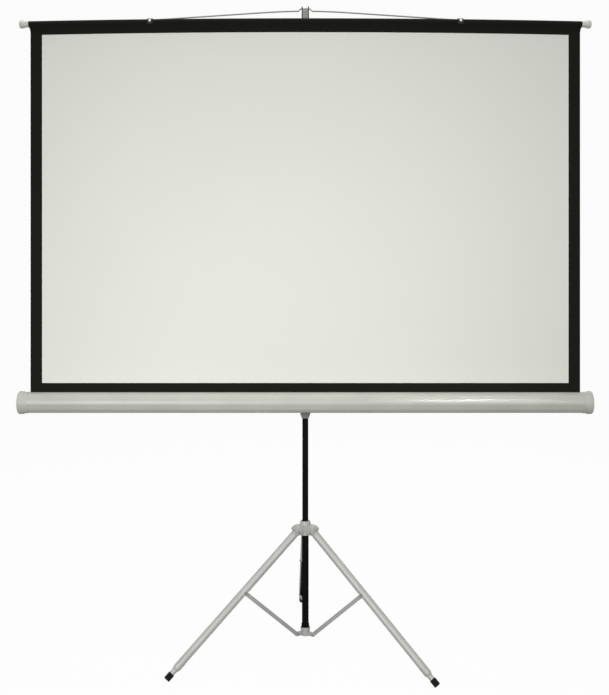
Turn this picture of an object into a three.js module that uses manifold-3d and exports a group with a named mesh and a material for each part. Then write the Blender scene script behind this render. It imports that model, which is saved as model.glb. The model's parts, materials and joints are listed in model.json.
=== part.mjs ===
// Tripod projection screen, standing open with its fabric drawn up.
// Millimetres, +Z up, the viewer looks along +Y at the face of the screen.
// The column's axis is x = 0, y = 0 while the parts are made, and the floor is z = 0.
import * as THREE from 'three';
import { mergeVertices } from 'three/addons/utils/BufferGeometryUtils.js';
import Module from 'manifold-3d';

const wasm = await Module();
wasm.setup();

// Screen
const caseZ = 851;
const pictureWidth = 1750;
const pictureHeight = 1166;
const pictureAboveCase = 62.5;
const pictureBottomZ = caseZ + pictureAboveCase;
const sideBorder = 38.5;
const topBorder = 36.5;
const fabricHalfWidth = pictureWidth / 2 + sideBorder;
const sheetThickness = 0.6;
const panelGap = 0.3;

// Top slat, its knobs and the wire bail
const hemOverhang = 5.5;
const hemHalfLength = fabricHalfWidth + hemOverhang;
const hemThickness = 0.7;
const knobSocketDepth = 15;
const knobTip = 15.5;
const knobRimRadius = 13.5;
const knobRimLength = 11;
const knobRounding = 4;
const knobTaper = 5;
const knobNeckRadius = 10.6;
const slatHalfLength = hemHalfLength + knobSocketDepth;
const slatRadius = 9;
const slatWall = 1;
const slatAboveZ = pictureBottomZ + pictureHeight + topBorder;
const slatBow = 10;
const bailFootX = 516;
const bailRise = 35;
const bailRoundingX = 140;
const bailApexY = -5;
const wireRadius = 2.5;
const clampWidth = 18;
const clampWall = 1.5;
const clampEyeLean = 45;

// Case and roller
const caseY = -60;
const caseRadius = 34;
const caseWall = 1;
const caseEndMargin = 10;
const caseHalfLength = fabricHalfWidth + caseEndMargin;
const slotWidth = 8;
const capRimRadius = 37.5;
const capRimLength = 22;
const capRounding = 4;
const capLip = 0.6;
const capFabricGap = 1;
const capEndThickness = 3;
const capOverhang = 23;
const capBossWall = 4;
const rollRadius = 17;
const rollerRadius = 15;
const rollerWall = 1;
const rollerHalfLength = fabricHalfWidth;
const plugFlange = 3;
const plugDepth = 24;
const shaftRadius = 4;
const shaftReach = 420;
const pinBeyondPlug = 2;
const springRadius = 9;
const springWireRadius = 1.2;
const springTurns = 9;

// Column, rod and the collar between them
const columnSide = 20;
const columnWall = 1.2;
const columnBottomZ = 63;
const columnTopZ = 1250;
const cornerRadius = 2;
const rodWall = 1.2;
const rodInsert = 345;
const rodBottomZ = columnTopZ - rodInsert;
const rodAboveSlat = 30;
const rodTopZ = slatAboveZ + rodAboveSlat;
const glideHeight = 12;
const glideStem = 20;
const collarSide = 30;
const collarBelow = 20;
const collarAbove = 14;
const buttonRadius = 6;
const buttonTravel = 3;
const buttonStandOut = 4;
const buttonLength = 9;
const sleeveWall = 0.9;
const sleeveBandSide = 26;
const sleeveBandHeight = 8;

// Hook on top of the rod
const hookSide = 25;
const hookCheek = 4;
const hookSkirt = 18;
const hookHornRise = 22;

// Slider that carries the case on the column
const sliderWidth = 37;
const sliderWall = 4;
const sliderBelowCase = 61;
const sliderBottomZ = caseZ - sliderBelowCase;
const sliderTaper = 21;
const sliderAboveCase = 54;
const sliderTopZ = caseZ + sliderAboveCase;
const taperFootWall = 1.6;
const bossRadius = 20;
const bossStandOff = 7;
const washerThickness = 1.2;
const boltRadius = 4;
const boltHeadRadius = 8;
const boltHeadHeight = 3;
const saddleHalfWidth = 35;
const saddleHalfHeight = 23;
const leverWidth = 11.4;
const leverAboveCase = 21;
const leverPivotZ = caseZ + leverAboveCase;
const leverPivotStandOff = 6;
const leverGripLength = 60;
const leverGripOut = 11;
const leverThickness = 6;
const leverNoseRise = 18;
const leverNoseHeight = 8;
const leverNoseDrop = 2;
const leverNoseLift = 3;
const leverEar = 3;
const leverEarRadius = 6;
const leverPinRadius = 2;

// Tripod
const legRadius = 12.5;
const legWall = 1.2;
const pivotRadius = 32;
const headPivotZ = 412;
const hubPivotZ = 68;
const footRadius = 498;
const leftTurn = 207.5;
const rightTurn = 326.5;
const rearTurn = 91.5;
const legTopGap = 16;
const neckRadius = 8.5;
const neckTaper = 12;
const neckLength = 22;
const footRubberRadius = 10.5;
const footLength = 24;
const footLip = 2;
const footRounding = 2.5;
const footCut = 3;
const footOverlap = 11;
const slotHalfWidth = 6.5;
const spreaderWidth = 13;
const spreaderThickness = 3;
const pinRadius = 2.5;
const pinHeadRadius = 4.2;
const pinHeadHeight = 2;
const headTopZ = 445;
const headBottomZ = 398;
const headBodyRadius = 18.5;
const headTopRadius = 16.2;
const headShoulder = 14;
const cheekThickness = 3.5;
const cheekRadius = 12;
const roofThickness = 3;
const roofLip = 5;
const roofDrop = 6;
const hubTopZ = 88;
const hubFloor = 3;
const hubBodyRadius = 16;
const hubChamfer = 2;
const earThickness = 3;
const earRadius = 7.5;

// Clearances
const gap = 0.3;
const collarPlay = 0.4;

// Overlap of shapes that are joined, and overshoot of shapes that cut
const over = 1;

// Facets of round shapes
const roundSides = 20;
const caseSides = 32;
const smallSides = 10;
const arcSides = 5;

const finishes = {
  black: new THREE.MeshStandardMaterial({ color: 0x17181a, roughness: 0.45, metalness: 0.2 }),
  silver: new THREE.MeshStandardMaterial({ color: 0xb9bab8, roughness: 0.35, metalness: 0.7 }),
  steel: new THREE.MeshStandardMaterial({ color: 0x9a9c9d, roughness: 0.4, metalness: 0.9 }),
  caseGrey: new THREE.MeshStandardMaterial({ color: 0xc4c5bd, roughness: 0.4, metalness: 0.1 }),
  paleGrey: new THREE.MeshStandardMaterial({ color: 0xbfc1b7, roughness: 0.5, metalness: 0 }),
  darkGrey: new THREE.MeshStandardMaterial({ color: 0x5c5e5e, roughness: 0.5, metalness: 0 }),
  rubber: new THREE.MeshStandardMaterial({ color: 0x121212, roughness: 0.8, metalness: 0 }),
  border: new THREE.MeshStandardMaterial({ color: 0x202120, roughness: 0.85, metalness: 0 }),
  picture: new THREE.MeshStandardMaterial({ color: 0xe2e3dc, roughness: 0.9, metalness: 0 }),
};

const axisX = new THREE.Vector3(1, 0, 0);
const axisY = new THREE.Vector3(0, 1, 0);
const axisZ = new THREE.Vector3(0, 0, 1);

// Shared vertices only, no collapsed triangles, and faces turned outwards.
function clean(geometry) {
  const bare = geometry.index ? geometry.toNonIndexed() : geometry;
  bare.deleteAttribute('normal');
  bare.deleteAttribute('uv');
  const merged = mergeVertices(bare, 1e-4);
  const corners = merged.index.array;
  const kept = [];
  for (let i = 0; i < corners.length; i += 3) {
    const [a, b, c] = [corners[i], corners[i + 1], corners[i + 2]];
    if (a !== b && b !== c && c !== a) kept.push(a, b, c);
  }
  if (signedVolume(merged, kept) < 0) kept.reverse();
  merged.setIndex(kept);
  return merged;
}

function signedVolume(geometry, corners) {
  const position = geometry.attributes.position;
  const [a, b, c] = [new THREE.Vector3(), new THREE.Vector3(), new THREE.Vector3()];
  let sum = 0;
  for (let i = 0; i < corners.length; i += 3) {
    a.fromBufferAttribute(position, corners[i]);
    b.fromBufferAttribute(position, corners[i + 1]);
    c.fromBufferAttribute(position, corners[i + 2]);
    sum += a.dot(b.cross(c));
  }
  return sum;
}

function toSolid(geometry) {
  const whole = clean(geometry);
  const vertProperties = new Float32Array(whole.attributes.position.array);
  const triVerts = new Uint32Array(whole.index.array);
  return new wasm.Manifold(new wasm.Mesh({ numProp: 3, vertProperties, triVerts }));
}

function fromSolid(solid) {
  const mesh = solid.getMesh();
  const geometry = new THREE.BufferGeometry();
  geometry.setAttribute('position', new THREE.BufferAttribute(new Float32Array(mesh.vertProperties), 3));
  geometry.setIndex(Array.from(mesh.triVerts));
  return geometry;
}

function join(first, ...others) {
  let solid = toSolid(first);
  for (const other of others) solid = solid.add(toSolid(other));
  return fromSolid(solid);
}

function cut(first, ...tools) {
  let solid = toSolid(first);
  for (const tool of tools) solid = solid.subtract(toSolid(tool));
  return fromSolid(solid);
}

// A box between two corners.
function block(x0, x1, y0, y1, z0, z1) {
  const box = new THREE.BoxGeometry(x1 - x0, y1 - y0, z1 - z0);
  return box.translate((x0 + x1) / 2, (y0 + y1) / 2, (z0 + z1) / 2);
}

// A round bar along one axis, from one place on that axis to another.
function bar(axis, radius, from, to, sides = smallSides) {
  const cylinder = new THREE.CylinderGeometry(radius, radius, to - from, sides);
  cylinder.translate(0, (from + to) / 2, 0);
  return aim(cylinder, axis);
}

// Turns a shape made along Y so that it lies along the given axis.
function aim(geometry, axis) {
  if (axis === axisX) return geometry.rotateZ(-Math.PI / 2);
  if (axis === axisZ) return geometry.rotateX(Math.PI / 2);
  return geometry;
}

// A turned piece: rows of [radius, place along the axis].
function turned(axis, rows, sides = roundSides) {
  const points = rows.map(([radius, place]) => new THREE.Vector2(radius, place));
  return aim(new THREE.LatheGeometry(points, sides), axis);
}

// The three points of a rounded edge on a turned profile, going inwards (-1 or 1) along the axis.
function roundEdge(radius, place, size, inwards) {
  const part = size * (1 - Math.SQRT1_2);
  return [
    [radius - size, place],
    [radius - part, place + inwards * part],
    [radius, place + inwards * size],
  ];
}

function ring(axis, inner, outer, from, to, sides = roundSides) {
  return turned(axis, [[inner, from], [outer, from], [outer, to], [inner, to], [inner, from]], sides);
}

function extruded(shape, depth, curveSegments = arcSides) {
  return new THREE.ExtrudeGeometry(shape, { depth, bevelEnabled: false, curveSegments });
}

// A flat outline in Y and Z, given its thickness along X.
function sidePlate(shape, fromX, toX, curveSegments = arcSides) {
  const plate = extruded(shape, toX - fromX, curveSegments);
  plate.applyMatrix4(new THREE.Matrix4().makeBasis(axisY, axisZ, axisX));
  return plate.translate(fromX, 0, 0);
}

// A flat outline in X and Z, given its thickness along Y.
function facePlate(shape, fromY, toY) {
  const plate = extruded(shape, toY - fromY);
  return plate.rotateX(Math.PI / 2).translate(0, toY, 0);
}

function outline(points) {
  return new THREE.Shape(points.map(([a, b]) => new THREE.Vector2(a, b)));
}

function roundedSquare(target, side, radius) {
  const half = side / 2;
  target.moveTo(half, -half + radius);
  target.lineTo(half, half - radius);
  target.absarc(half - radius, half - radius, radius, 0, Math.PI / 2);
  target.lineTo(-half + radius, half);
  target.absarc(-half + radius, half - radius, radius, Math.PI / 2, Math.PI);
  target.lineTo(-half, -half + radius);
  target.absarc(-half + radius, -half + radius, radius, Math.PI, Math.PI * 1.5);
  target.lineTo(half - radius, -half);
  target.absarc(half - radius, -half + radius, radius, Math.PI * 1.5, Math.PI * 2);
  return target;
}

// A square tube standing on Z, with rounded edges outside and in.
function squareTube(side, bore, fromZ, toZ) {
  const shape = roundedSquare(new THREE.Shape(), side, cornerRadius);
  const inside = Math.max(cornerRadius - (side - bore) / 2, 0.4);
  shape.holes.push(roundedSquare(new THREE.Path(), bore, inside));
  return extruded(shape, toZ - fromZ, 1).translate(0, 0, fromZ);
}

function squareBar(side, fromZ, toZ) {
  return block(-side / 2, side / 2, -side / 2, side / 2, fromZ, toZ);
}

const screen = new THREE.Group();

function part(name, geometry, finish, parent = screen) {
  const mesh = new THREE.Mesh(clean(geometry), finish);
  mesh.name = name;
  parent.add(mesh);
  return mesh;
}

function subgroup(parent, x, y, z) {
  const group = new THREE.Group();
  group.position.set(x, y, z);
  parent.add(group);
  return group;
}

// Column: outer square tube, the spacer sleeve that holds the head up, and the top collar.
const columnBore = columnSide - 2 * columnWall;
const slideSide = columnSide + 2 * gap;
const rodSide = columnBore - 2 * gap;

part('column_tube', squareTube(columnSide, columnBore, columnBottomZ, columnTopZ), finishes.black);

const sleeveBottomZ = hubTopZ + gap;
const sleeveSide = slideSide + 2 * sleeveWall;
const sleeveBand = squareTube(sleeveBandSide, slideSide, sleeveBottomZ, sleeveBottomZ + sleeveBandHeight);
const sleeveBody = squareTube(sleeveSide, slideSide, sleeveBottomZ, headBottomZ - gap);
part('spacer_sleeve', join(sleeveBody, sleeveBand), finishes.black);

const collarBottomZ = columnTopZ - collarBelow;
const collarTopZ = columnTopZ + collarAbove;
const buttonZ = columnTopZ - collarBelow / 2;
const collarHalf = collarSide / 2;
const buttonSeatY = slideSide / 2 + sliderWall / 2;
const collarRearY = buttonSeatY + gap + buttonTravel + buttonLength - buttonStandOut;
const buttonStartY = buttonSeatY + gap + buttonTravel;
part('column_collar', cut(
  block(-collarHalf, collarHalf, -collarHalf, collarRearY, collarBottomZ, collarTopZ),
  squareBar(slideSide, collarBottomZ - over, columnTopZ + gap),
  squareBar(columnBore, columnTopZ, collarTopZ + over),
  bar(axisY, buttonRadius + gap, buttonSeatY, collarRearY + over).translate(0, 0, buttonZ),
), finishes.black);
part('lock_button', bar(axisY, buttonRadius, buttonStartY, buttonStartY + buttonLength)
  .translate(0, 0, buttonZ), finishes.darkGrey);

// Rod: inner square tube with a plastic glide at its foot and the hook at its top.
const rodBore = rodSide - 2 * rodWall;
part('rod_tube', squareTube(rodSide, rodBore, rodBottomZ, rodTopZ), finishes.silver);
part('rod_glide', join(
  squareBar(rodSide, rodBottomZ - gap - glideHeight, rodBottomZ - gap),
  squareBar(rodBore - 2 * cornerRadius, rodBottomZ - gap - over, rodBottomZ + glideStem),
), finishes.black);

const sheetY = caseY + rollRadius;
const hemRadius = slatRadius + gap + hemThickness;
const slatDrop = (x) => slatBow * (x / hemHalfLength) ** 2;
const slatZ = (x) => slatAboveZ - slatDrop(x);
const clampEyeReach = hemRadius + gap + clampWall + wireRadius;
const clampEyeY = clampEyeReach * Math.sin(THREE.MathUtils.degToRad(clampEyeLean));
const clampEyeZ = clampEyeReach * Math.cos(THREE.MathUtils.degToRad(clampEyeLean));
const bailFootY = sheetY + clampEyeY;
const bailFootZ = slatZ(bailFootX) + clampEyeZ;
const bailBendX = bailFootX - clampWidth;
const bailSlope = bailRise / (bailBendX - bailRoundingX / 2);
const bailApexZ = bailFootZ + bailRise;

const hookBaseZ = rodTopZ + cornerRadius * 2;
const notchZ = bailApexZ - wireRadius - gap;
const hookHalf = hookSide / 2;
const hornZ = notchZ + hookHornRise;
function hookCheekShape() {
  const lipZ = notchZ + 1.5 * wireRadius;
  return outline([
    [-hookHalf, hookBaseZ - over],
    [hookHalf, hookBaseZ - over],
    [hookHalf, hornZ - hookHalf],
    [hookHalf * 0.8, hornZ - hookHalf / 4],
    [hookHalf * 0.4, hornZ],
    [hookHalf * 0.1, hornZ - hookHalf / 6],
    [bailApexY + 2 * wireRadius, lipZ],
    [bailApexY + wireRadius, notchZ],
    [bailApexY - wireRadius, notchZ],
    [bailApexY - wireRadius - 2 * wireRadius, lipZ],
    [-hookHalf, lipZ],
  ]);
}
part('bail_hook', cut(
  join(
    squareBar(hookSide, rodTopZ - hookSkirt, hookBaseZ),
    sidePlate(hookCheekShape(), hookHalf - hookCheek, hookHalf),
    sidePlate(hookCheekShape(), -hookHalf, -hookHalf + hookCheek),
  ),
  squareBar(rodSide + 2 * gap, rodTopZ - hookSkirt - over, rodTopZ + gap),
), finishes.steel);

// Slider: the sleeve that the case hangs on, with its pivot boss and release lever.
const sliderHalf = sliderWidth / 2;
const sliderFrontY = -slideSide / 2 - sliderWall;
const sliderRearY = slideSide / 2 + sliderWall;
const bossY = sliderFrontY - bossStandOff;
const taperTopZ = sliderBottomZ + sliderTaper;
const pivotDepthY = sliderFrontY + sliderWall / 2;
const leverPivotY = sliderRearY + leverPivotStandOff;
const noseBottomZ = leverPivotZ + leverNoseRise - leverNoseHeight / 2;
const noseTopZ = leverPivotZ + leverNoseRise + leverNoseHeight / 2;
const windowBottomZ = noseBottomZ - leverNoseDrop;
const windowTopZ = noseTopZ + leverNoseLift;

function sliderTaperFoot() {
  const foot = slideSide / 2 + taperFootWall;
  const footCone = new THREE.CylinderGeometry(Math.SQRT2, Math.SQRT2, sliderTaper, 4);
  const positions = footCone.attributes.position;
  footCone.rotateY(Math.PI / 4);
  for (let i = 0; i < positions.count; i += 1) {
    const upper = positions.getY(i) > 0;
    const x = Math.sign(positions.getX(i)) * (upper ? sliderHalf : foot);
    const y = Math.sign(positions.getZ(i)) * (upper ? sliderRearY : foot);
    const onAxis = Math.abs(positions.getX(i)) < 0.5;
    positions.setX(i, onAxis ? 0 : x);
    positions.setZ(i, onAxis ? 0 : y);
  }
  return aim(footCone, axisZ).translate(0, 0, sliderBottomZ + sliderTaper / 2);
}

function leverEarPlate(fromX, toX) {
  const rear = leverPivotY;
  const shape = new THREE.Shape();
  shape.moveTo(sliderRearY - over, leverPivotZ - leverEarRadius);
  shape.lineTo(rear, leverPivotZ - leverEarRadius);
  shape.absarc(rear, leverPivotZ, leverEarRadius, -Math.PI / 2, Math.PI / 2);
  shape.lineTo(sliderRearY - over, leverPivotZ + leverEarRadius);
  return sidePlate(shape, fromX, toX);
}

const earInner = leverWidth / 2 + gap;
const earOuter = earInner + leverEar;
function leverPin(radius) {
  return bar(axisX, radius, -earOuter - over, earOuter + over).translate(0, leverPivotY, leverPivotZ);
}

part('slider_body', cut(
  join(
    block(-sliderHalf, sliderHalf, sliderFrontY, sliderRearY, taperTopZ, sliderTopZ),
    sliderTaperFoot(),
    bar(axisY, bossRadius, bossY, sliderFrontY + over, roundSides).translate(0, 0, caseZ),
    leverEarPlate(earInner, earOuter),
    leverEarPlate(-earOuter, -earInner),
  ),
  squareBar(slideSide, sliderBottomZ - over, sliderTopZ + over),
  bar(axisY, boltRadius + gap, bossY - over, pivotDepthY).translate(0, 0, caseZ),
  block(-earInner, earInner, 0, sliderRearY + over, windowBottomZ, windowTopZ),
  leverPin(leverPinRadius + gap),
), finishes.darkGrey);

const leverShape = outline([
  [slideSide / 2, noseBottomZ],
  [leverPivotY - leverThickness / 2, noseBottomZ],
  [leverPivotY - leverThickness / 2, leverPivotZ - leverThickness],
  [leverPivotY - leverThickness / 2 + leverGripOut, leverPivotZ - leverGripLength],
  [leverPivotY + leverThickness / 2 + leverGripOut, leverPivotZ - leverGripLength],
  [leverPivotY + leverThickness * 0.8, leverPivotZ - leverThickness],
  [leverPivotY + leverThickness * 0.8, noseTopZ - leverThickness / 2],
  [leverPivotY + leverThickness / 4, noseTopZ],
  [slideSide / 2, noseTopZ],
]);
part('height_lever', cut(
  sidePlate(leverShape, -leverWidth / 2, leverWidth / 2),
  bar(axisX, leverPinRadius + gap, -leverWidth, leverWidth).translate(0, leverPivotY, leverPivotZ),
), finishes.black);
part('lever_pin', leverPin(leverPinRadius), finishes.steel);

const washerRearY = bossY - gap;
const saddleRearY = washerRearY - washerThickness - gap;
part('pivot_washer', ring(axisY, boltRadius + gap, bossRadius, washerRearY - washerThickness, washerRearY)
  .translate(0, 0, caseZ), finishes.paleGrey);

const boltHeadY = caseY + Math.sqrt((caseRadius - caseWall) ** 2 - boltHeadRadius ** 2) - gap;
part('pivot_bolt', join(
  bar(axisY, boltRadius, boltHeadY - over, pivotDepthY - gap),
  bar(axisY, boltHeadRadius, boltHeadY - boltHeadHeight, boltHeadY),
).translate(0, 0, caseZ), finishes.steel);

// Case: a round sheet-metal shell with a slot for the fabric, two end caps and the pivot saddle.
function caseSection() {
  const rear = Math.asin((rollRadius + slotWidth / 2) / caseRadius);
  const front = Math.asin((rollRadius - slotWidth / 2) / caseRadius);
  const start = Math.PI / 2 - front;
  const end = Math.PI / 2 - rear + 2 * Math.PI;
  const shape = new THREE.Shape();
  shape.absarc(0, 0, caseRadius, start, end, false);
  shape.absarc(0, 0, caseRadius - caseWall, end, start, true);
  return shape;
}

part('case_shell', cut(
  sidePlate(caseSection(), -caseHalfLength, caseHalfLength, caseSides * 0.75),
  bar(axisY, boltRadius + gap, 0, caseRadius + over),
).translate(0, caseY, caseZ), finishes.caseGrey);

part('case_saddle', cut(
  block(-saddleHalfWidth, saddleHalfWidth, 0, saddleRearY - caseY, -saddleHalfHeight, saddleHalfHeight),
  bar(axisX, caseRadius + gap, -saddleHalfWidth - over, saddleHalfWidth + over, 2 * caseSides),
  bar(axisY, boltRadius + gap, 0, caseRadius * 2),
).translate(0, caseY, caseZ), finishes.darkGrey);

// An end cap is turned about X: socket over the shell, rim, closed end and a boss for the roller's pin.
const capOuterX = caseHalfLength + capOverhang;
const capInnerX = fabricHalfWidth + capFabricGap;
const capRimX = capOuterX - capRimLength;
const capFloorX = capOuterX - capEndThickness;
const shellEndX = caseHalfLength + gap;
const capBossRadius = shaftRadius + capBossWall;
const capBossX = rollerHalfLength + plugFlange + gap;
const capSocket = caseRadius + gap;
function caseCap(side) {
  const rows = [
    [0, capOuterX],
    ...roundEdge(capRimRadius, capOuterX, capRounding, -1),
    [capRimRadius, capRimX],
    [capSocket + capLip, capInnerX],
    [capSocket, capInnerX],
    [capSocket, shellEndX],
    [caseRadius - caseWall, shellEndX],
    [caseRadius - caseWall, capFloorX],
    [capBossRadius, capFloorX],
    [capBossRadius, capBossX],
    [shaftRadius + gap, capBossX],
    [shaftRadius + gap, capFloorX],
    [0, capFloorX],
  ];
  const cap = turned(axisX, rows, caseSides);
  if (side < 0) cap.rotateZ(Math.PI);
  return cap.translate(0, caseY, caseZ);
}
part('case_cap_left', caseCap(-1), finishes.caseGrey);
part('case_cap_right', caseCap(1), finishes.caseGrey);

// Roller: tube with the wound fabric on it, turning on a sprung shaft at the left and a pin at the right.
const rollerBore = rollerRadius - rollerWall;
part('roller_tube', ring(axisX, rollerBore, rollerRadius, -rollerHalfLength, rollerHalfLength)
  .translate(0, caseY, caseZ), finishes.steel);
part('fabric_roll', ring(axisX, rollerRadius + gap, rollRadius - gap, -rollerHalfLength, rollerHalfLength)
  .translate(0, caseY, caseZ), finishes.border);

function rollerPlug() {
  const stemEnd = rollerHalfLength - plugDepth;
  return turned(axisX, [
    [shaftRadius + gap, stemEnd],
    [rollerBore - gap, stemEnd],
    [rollerBore - gap, rollerHalfLength + gap],
    [rollerRadius, rollerHalfLength + gap],
    [rollerRadius, rollerHalfLength + plugFlange],
    [shaftRadius + gap, rollerHalfLength + plugFlange],
    [shaftRadius + gap, stemEnd],
  ]);
}
part('spring_plug', rollerPlug().rotateZ(Math.PI).translate(0, caseY, caseZ), finishes.paleGrey);
part('idler_plug', rollerPlug().translate(0, caseY, caseZ), finishes.paleGrey);
const shaftEndX = capFloorX - gap;
part('spring_shaft', bar(axisX, shaftRadius, -shaftEndX, -shaftEndX + shaftReach)
  .translate(0, caseY, caseZ), finishes.steel);
part('idler_pin', bar(axisX, shaftRadius, rollerHalfLength - plugDepth - pinBeyondPlug, shaftEndX)
  .translate(0, caseY, caseZ), finishes.steel);

// The spring starts against the left plug and its last turn closes in on the shaft.
class SpringCurve extends THREE.Curve {
  getPoint(t) {
    const angle = 2 * Math.PI * springTurns * t;
    const startX = -rollerHalfLength + plugDepth + springWireRadius + gap;
    const endX = -shaftEndX + shaftReach - 2 * shaftRadius;
    const seat = shaftRadius + springWireRadius + gap;
    const open = Math.min(1, springTurns * (1 - t));
    const radius = seat + (springRadius - seat) * open;
    const x = startX + (endX - startX) * t;
    return new THREE.Vector3(x, radius * Math.cos(angle), radius * Math.sin(angle));
  }
}

function roundSection(radius, sides) {
  const points = [];
  for (let i = 0; i < sides; i += 1) {
    const angle = (2 * Math.PI * i) / sides;
    points.push([radius * Math.cos(angle), radius * Math.sin(angle)]);
  }
  return outline(points);
}

function tubeAlong(curve, section, steps) {
  return new THREE.ExtrudeGeometry(section, { steps, extrudePath: curve, bevelEnabled: false });
}
part('roller_spring', tubeAlong(new SpringCurve(), roundSection(springWireRadius, 5), 8 * springTurns)
  .translate(0, caseY, caseZ), finishes.steel);

// Slat: a thin tube bowed by the pull of the fabric, inside the sewn hem.
class SlatCurve extends THREE.Curve {
  constructor(halfLength) {
    super();
    this.halfLength = halfLength;
  }

  getPoint(t) {
    const x = (2 * t - 1) * this.halfLength;
    return new THREE.Vector3(x, sheetY, slatZ(x));
  }
}

function ringSection(inner, outer, sides) {
  const shape = roundSection(outer, sides);
  shape.holes.push(new THREE.Path(roundSection(inner, sides).getPoints()));
  return shape;
}
const slatSteps = 12;
const slatSides = 12;
part('slat_tube', tubeAlong(new SlatCurve(slatHalfLength),
  ringSection(slatRadius - slatWall, slatRadius, slatSides), slatSteps), finishes.steel);
part('screen_hem', tubeAlong(new SlatCurve(hemHalfLength),
  ringSection(slatRadius + gap, hemRadius, slatSides), slatSteps), finishes.border);

// A knob is turned about X with its socket over the slat's end, then tilted with the slat.
function slatKnob(side) {
  const rimX = knobTip - knobRimLength;
  const knob = turned(axisX, [
    [0, knobTip],
    ...roundEdge(knobRimRadius, knobTip, knobRounding, -1),
    [knobRimRadius, rimX],
    [knobNeckRadius, rimX - knobTaper],
    [knobNeckRadius, -knobSocketDepth],
    [slatRadius + gap, -knobSocketDepth],
    [slatRadius + gap, gap],
    [0, gap],
  ]);
  if (side < 0) knob.rotateZ(Math.PI);
  const slope = (2 * slatBow * slatHalfLength) / hemHalfLength ** 2;
  knob.rotateY(side * slope);
  return knob.translate(side * slatHalfLength, sheetY, slatZ(slatHalfLength));
}
part('slat_knob_left', slatKnob(-1), finishes.paleGrey);
part('slat_knob_right', slatKnob(1), finishes.paleGrey);

const bailSteps = 40;

// Bail: a flat wire triangle with a long rounded top, hinged in two clamps behind the hem's crown.
class BailCurve extends THREE.Curve {
  getPoint(t) {
    const reach = bailFootX + clampWidth / 2 + over;
    const x = (2 * t - 1) * reach;
    const away = Math.min(Math.abs(x), bailBendX);
    const rounded = (bailSlope * away * away) / (2 * bailRoundingX);
    const straight = bailSlope * (away - bailRoundingX / 2);
    const fall = (away < bailRoundingX ? rounded : straight) / bailRise;
    const y = bailApexY + (bailFootY - bailApexY) * fall;
    return new THREE.Vector3(x, y, bailApexZ - bailRise * fall);
  }
}
part('bail_wire', tubeAlong(new BailCurve(), roundSection(wireRadius, 6), bailSteps), finishes.steel);

function bailClamp(side) {
  const eyeRadius = wireRadius + gap + clampWall;
  const strap = ring(axisX, hemRadius + gap, hemRadius + gap + clampWall, 0, clampWidth);
  const eye = bar(axisX, eyeRadius, 0, clampWidth).translate(0, clampEyeY, clampEyeZ);
  const hemSpace = bar(axisX, hemRadius + gap, -over, clampWidth + over, roundSides);
  const wireSpace = bar(axisX, wireRadius + 2 * gap, -over, clampWidth + over);
  wireSpace.translate(0, clampEyeY, clampEyeZ);
  const sheetHalf = sheetThickness / 2 + gap;
  const sheetSpace = block(-over, clampWidth + over, -sheetHalf, sheetHalf, -2 * hemRadius, 0);
  const clamp = cut(join(strap, eye), hemSpace, wireSpace, sheetSpace).translate(-clampWidth / 2, 0, 0);
  return clamp.translate(side * bailFootX, sheetY, slatZ(bailFootX));
}
part('bail_clamp_left', bailClamp(-1), finishes.black);
part('bail_clamp_right', bailClamp(1), finishes.black);

// Fabric: the black border frame, drawn out of the case slot, and the picture panel inside it.
const sheetBottomZ = caseZ + rollRadius / 3;
const pictureTopZ = pictureBottomZ + pictureHeight;
const archPoints = 16;
function archedTop(halfWidth, topZ) {
  const points = [];
  for (let i = 0; i <= archPoints; i += 1) {
    const x = halfWidth - (2 * halfWidth * i) / archPoints;
    points.push([x, topZ - slatDrop(x)]);
  }
  return points;
}

function panelOutline(halfWidth, bottomZ, topZ) {
  return [[-halfWidth, bottomZ], [halfWidth, bottomZ], ...archedTop(halfWidth, topZ)];
}

const borderShape = outline(panelOutline(fabricHalfWidth, sheetBottomZ, slatAboveZ - hemRadius - gap));
const windowHalf = pictureWidth / 2 + panelGap;
const windowPoints = panelOutline(windowHalf, pictureBottomZ - panelGap, pictureTopZ + panelGap);
borderShape.holes.push(new THREE.Path(windowPoints.map(([x, z]) => new THREE.Vector2(x, z))));
const sheetFrontY = sheetY - sheetThickness / 2;
const sheetRearY = sheetY + sheetThickness / 2;
part('screen_border', facePlate(borderShape, sheetFrontY, sheetRearY), finishes.border);
const pictureShape = outline(panelOutline(pictureWidth / 2, pictureBottomZ, pictureTopZ));
part('screen_field', facePlate(pictureShape, sheetFrontY, sheetRearY), finishes.picture);

// Tripod: head on the column, hub at its foot, and three legs with their spreaders.
const legAngle = Math.atan((footRadius - pivotRadius) / headPivotZ);
const linkLength = (headPivotZ - hubPivotZ) / 2 / Math.cos(legAngle);
const sectors = [
  { name: 'left', turn: THREE.MathUtils.degToRad(leftTurn) },
  { name: 'right', turn: THREE.MathUtils.degToRad(rightTurn) },
  { name: 'rear', turn: THREE.MathUtils.degToRad(rearTurn) },
];

// Inside a sector group X points outwards, Y along the hinge pins and Z up.
const headSlot = legRadius + gap;
const cheekOuter = headSlot + cheekThickness;
const alongLeg = new THREE.Vector2(Math.sin(legAngle), -Math.cos(legAngle));
const awayFromLeg = new THREE.Vector2(Math.cos(legAngle), Math.sin(legAngle));

// A point given by its distances along the open leg and off its axis, from the head pivot.
function offLeg(along, away) {
  const point = new THREE.Vector2(pivotRadius, headPivotZ);
  return point.addScaledVector(alongLeg, along).addScaledVector(awayFromLeg, away);
}

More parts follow.
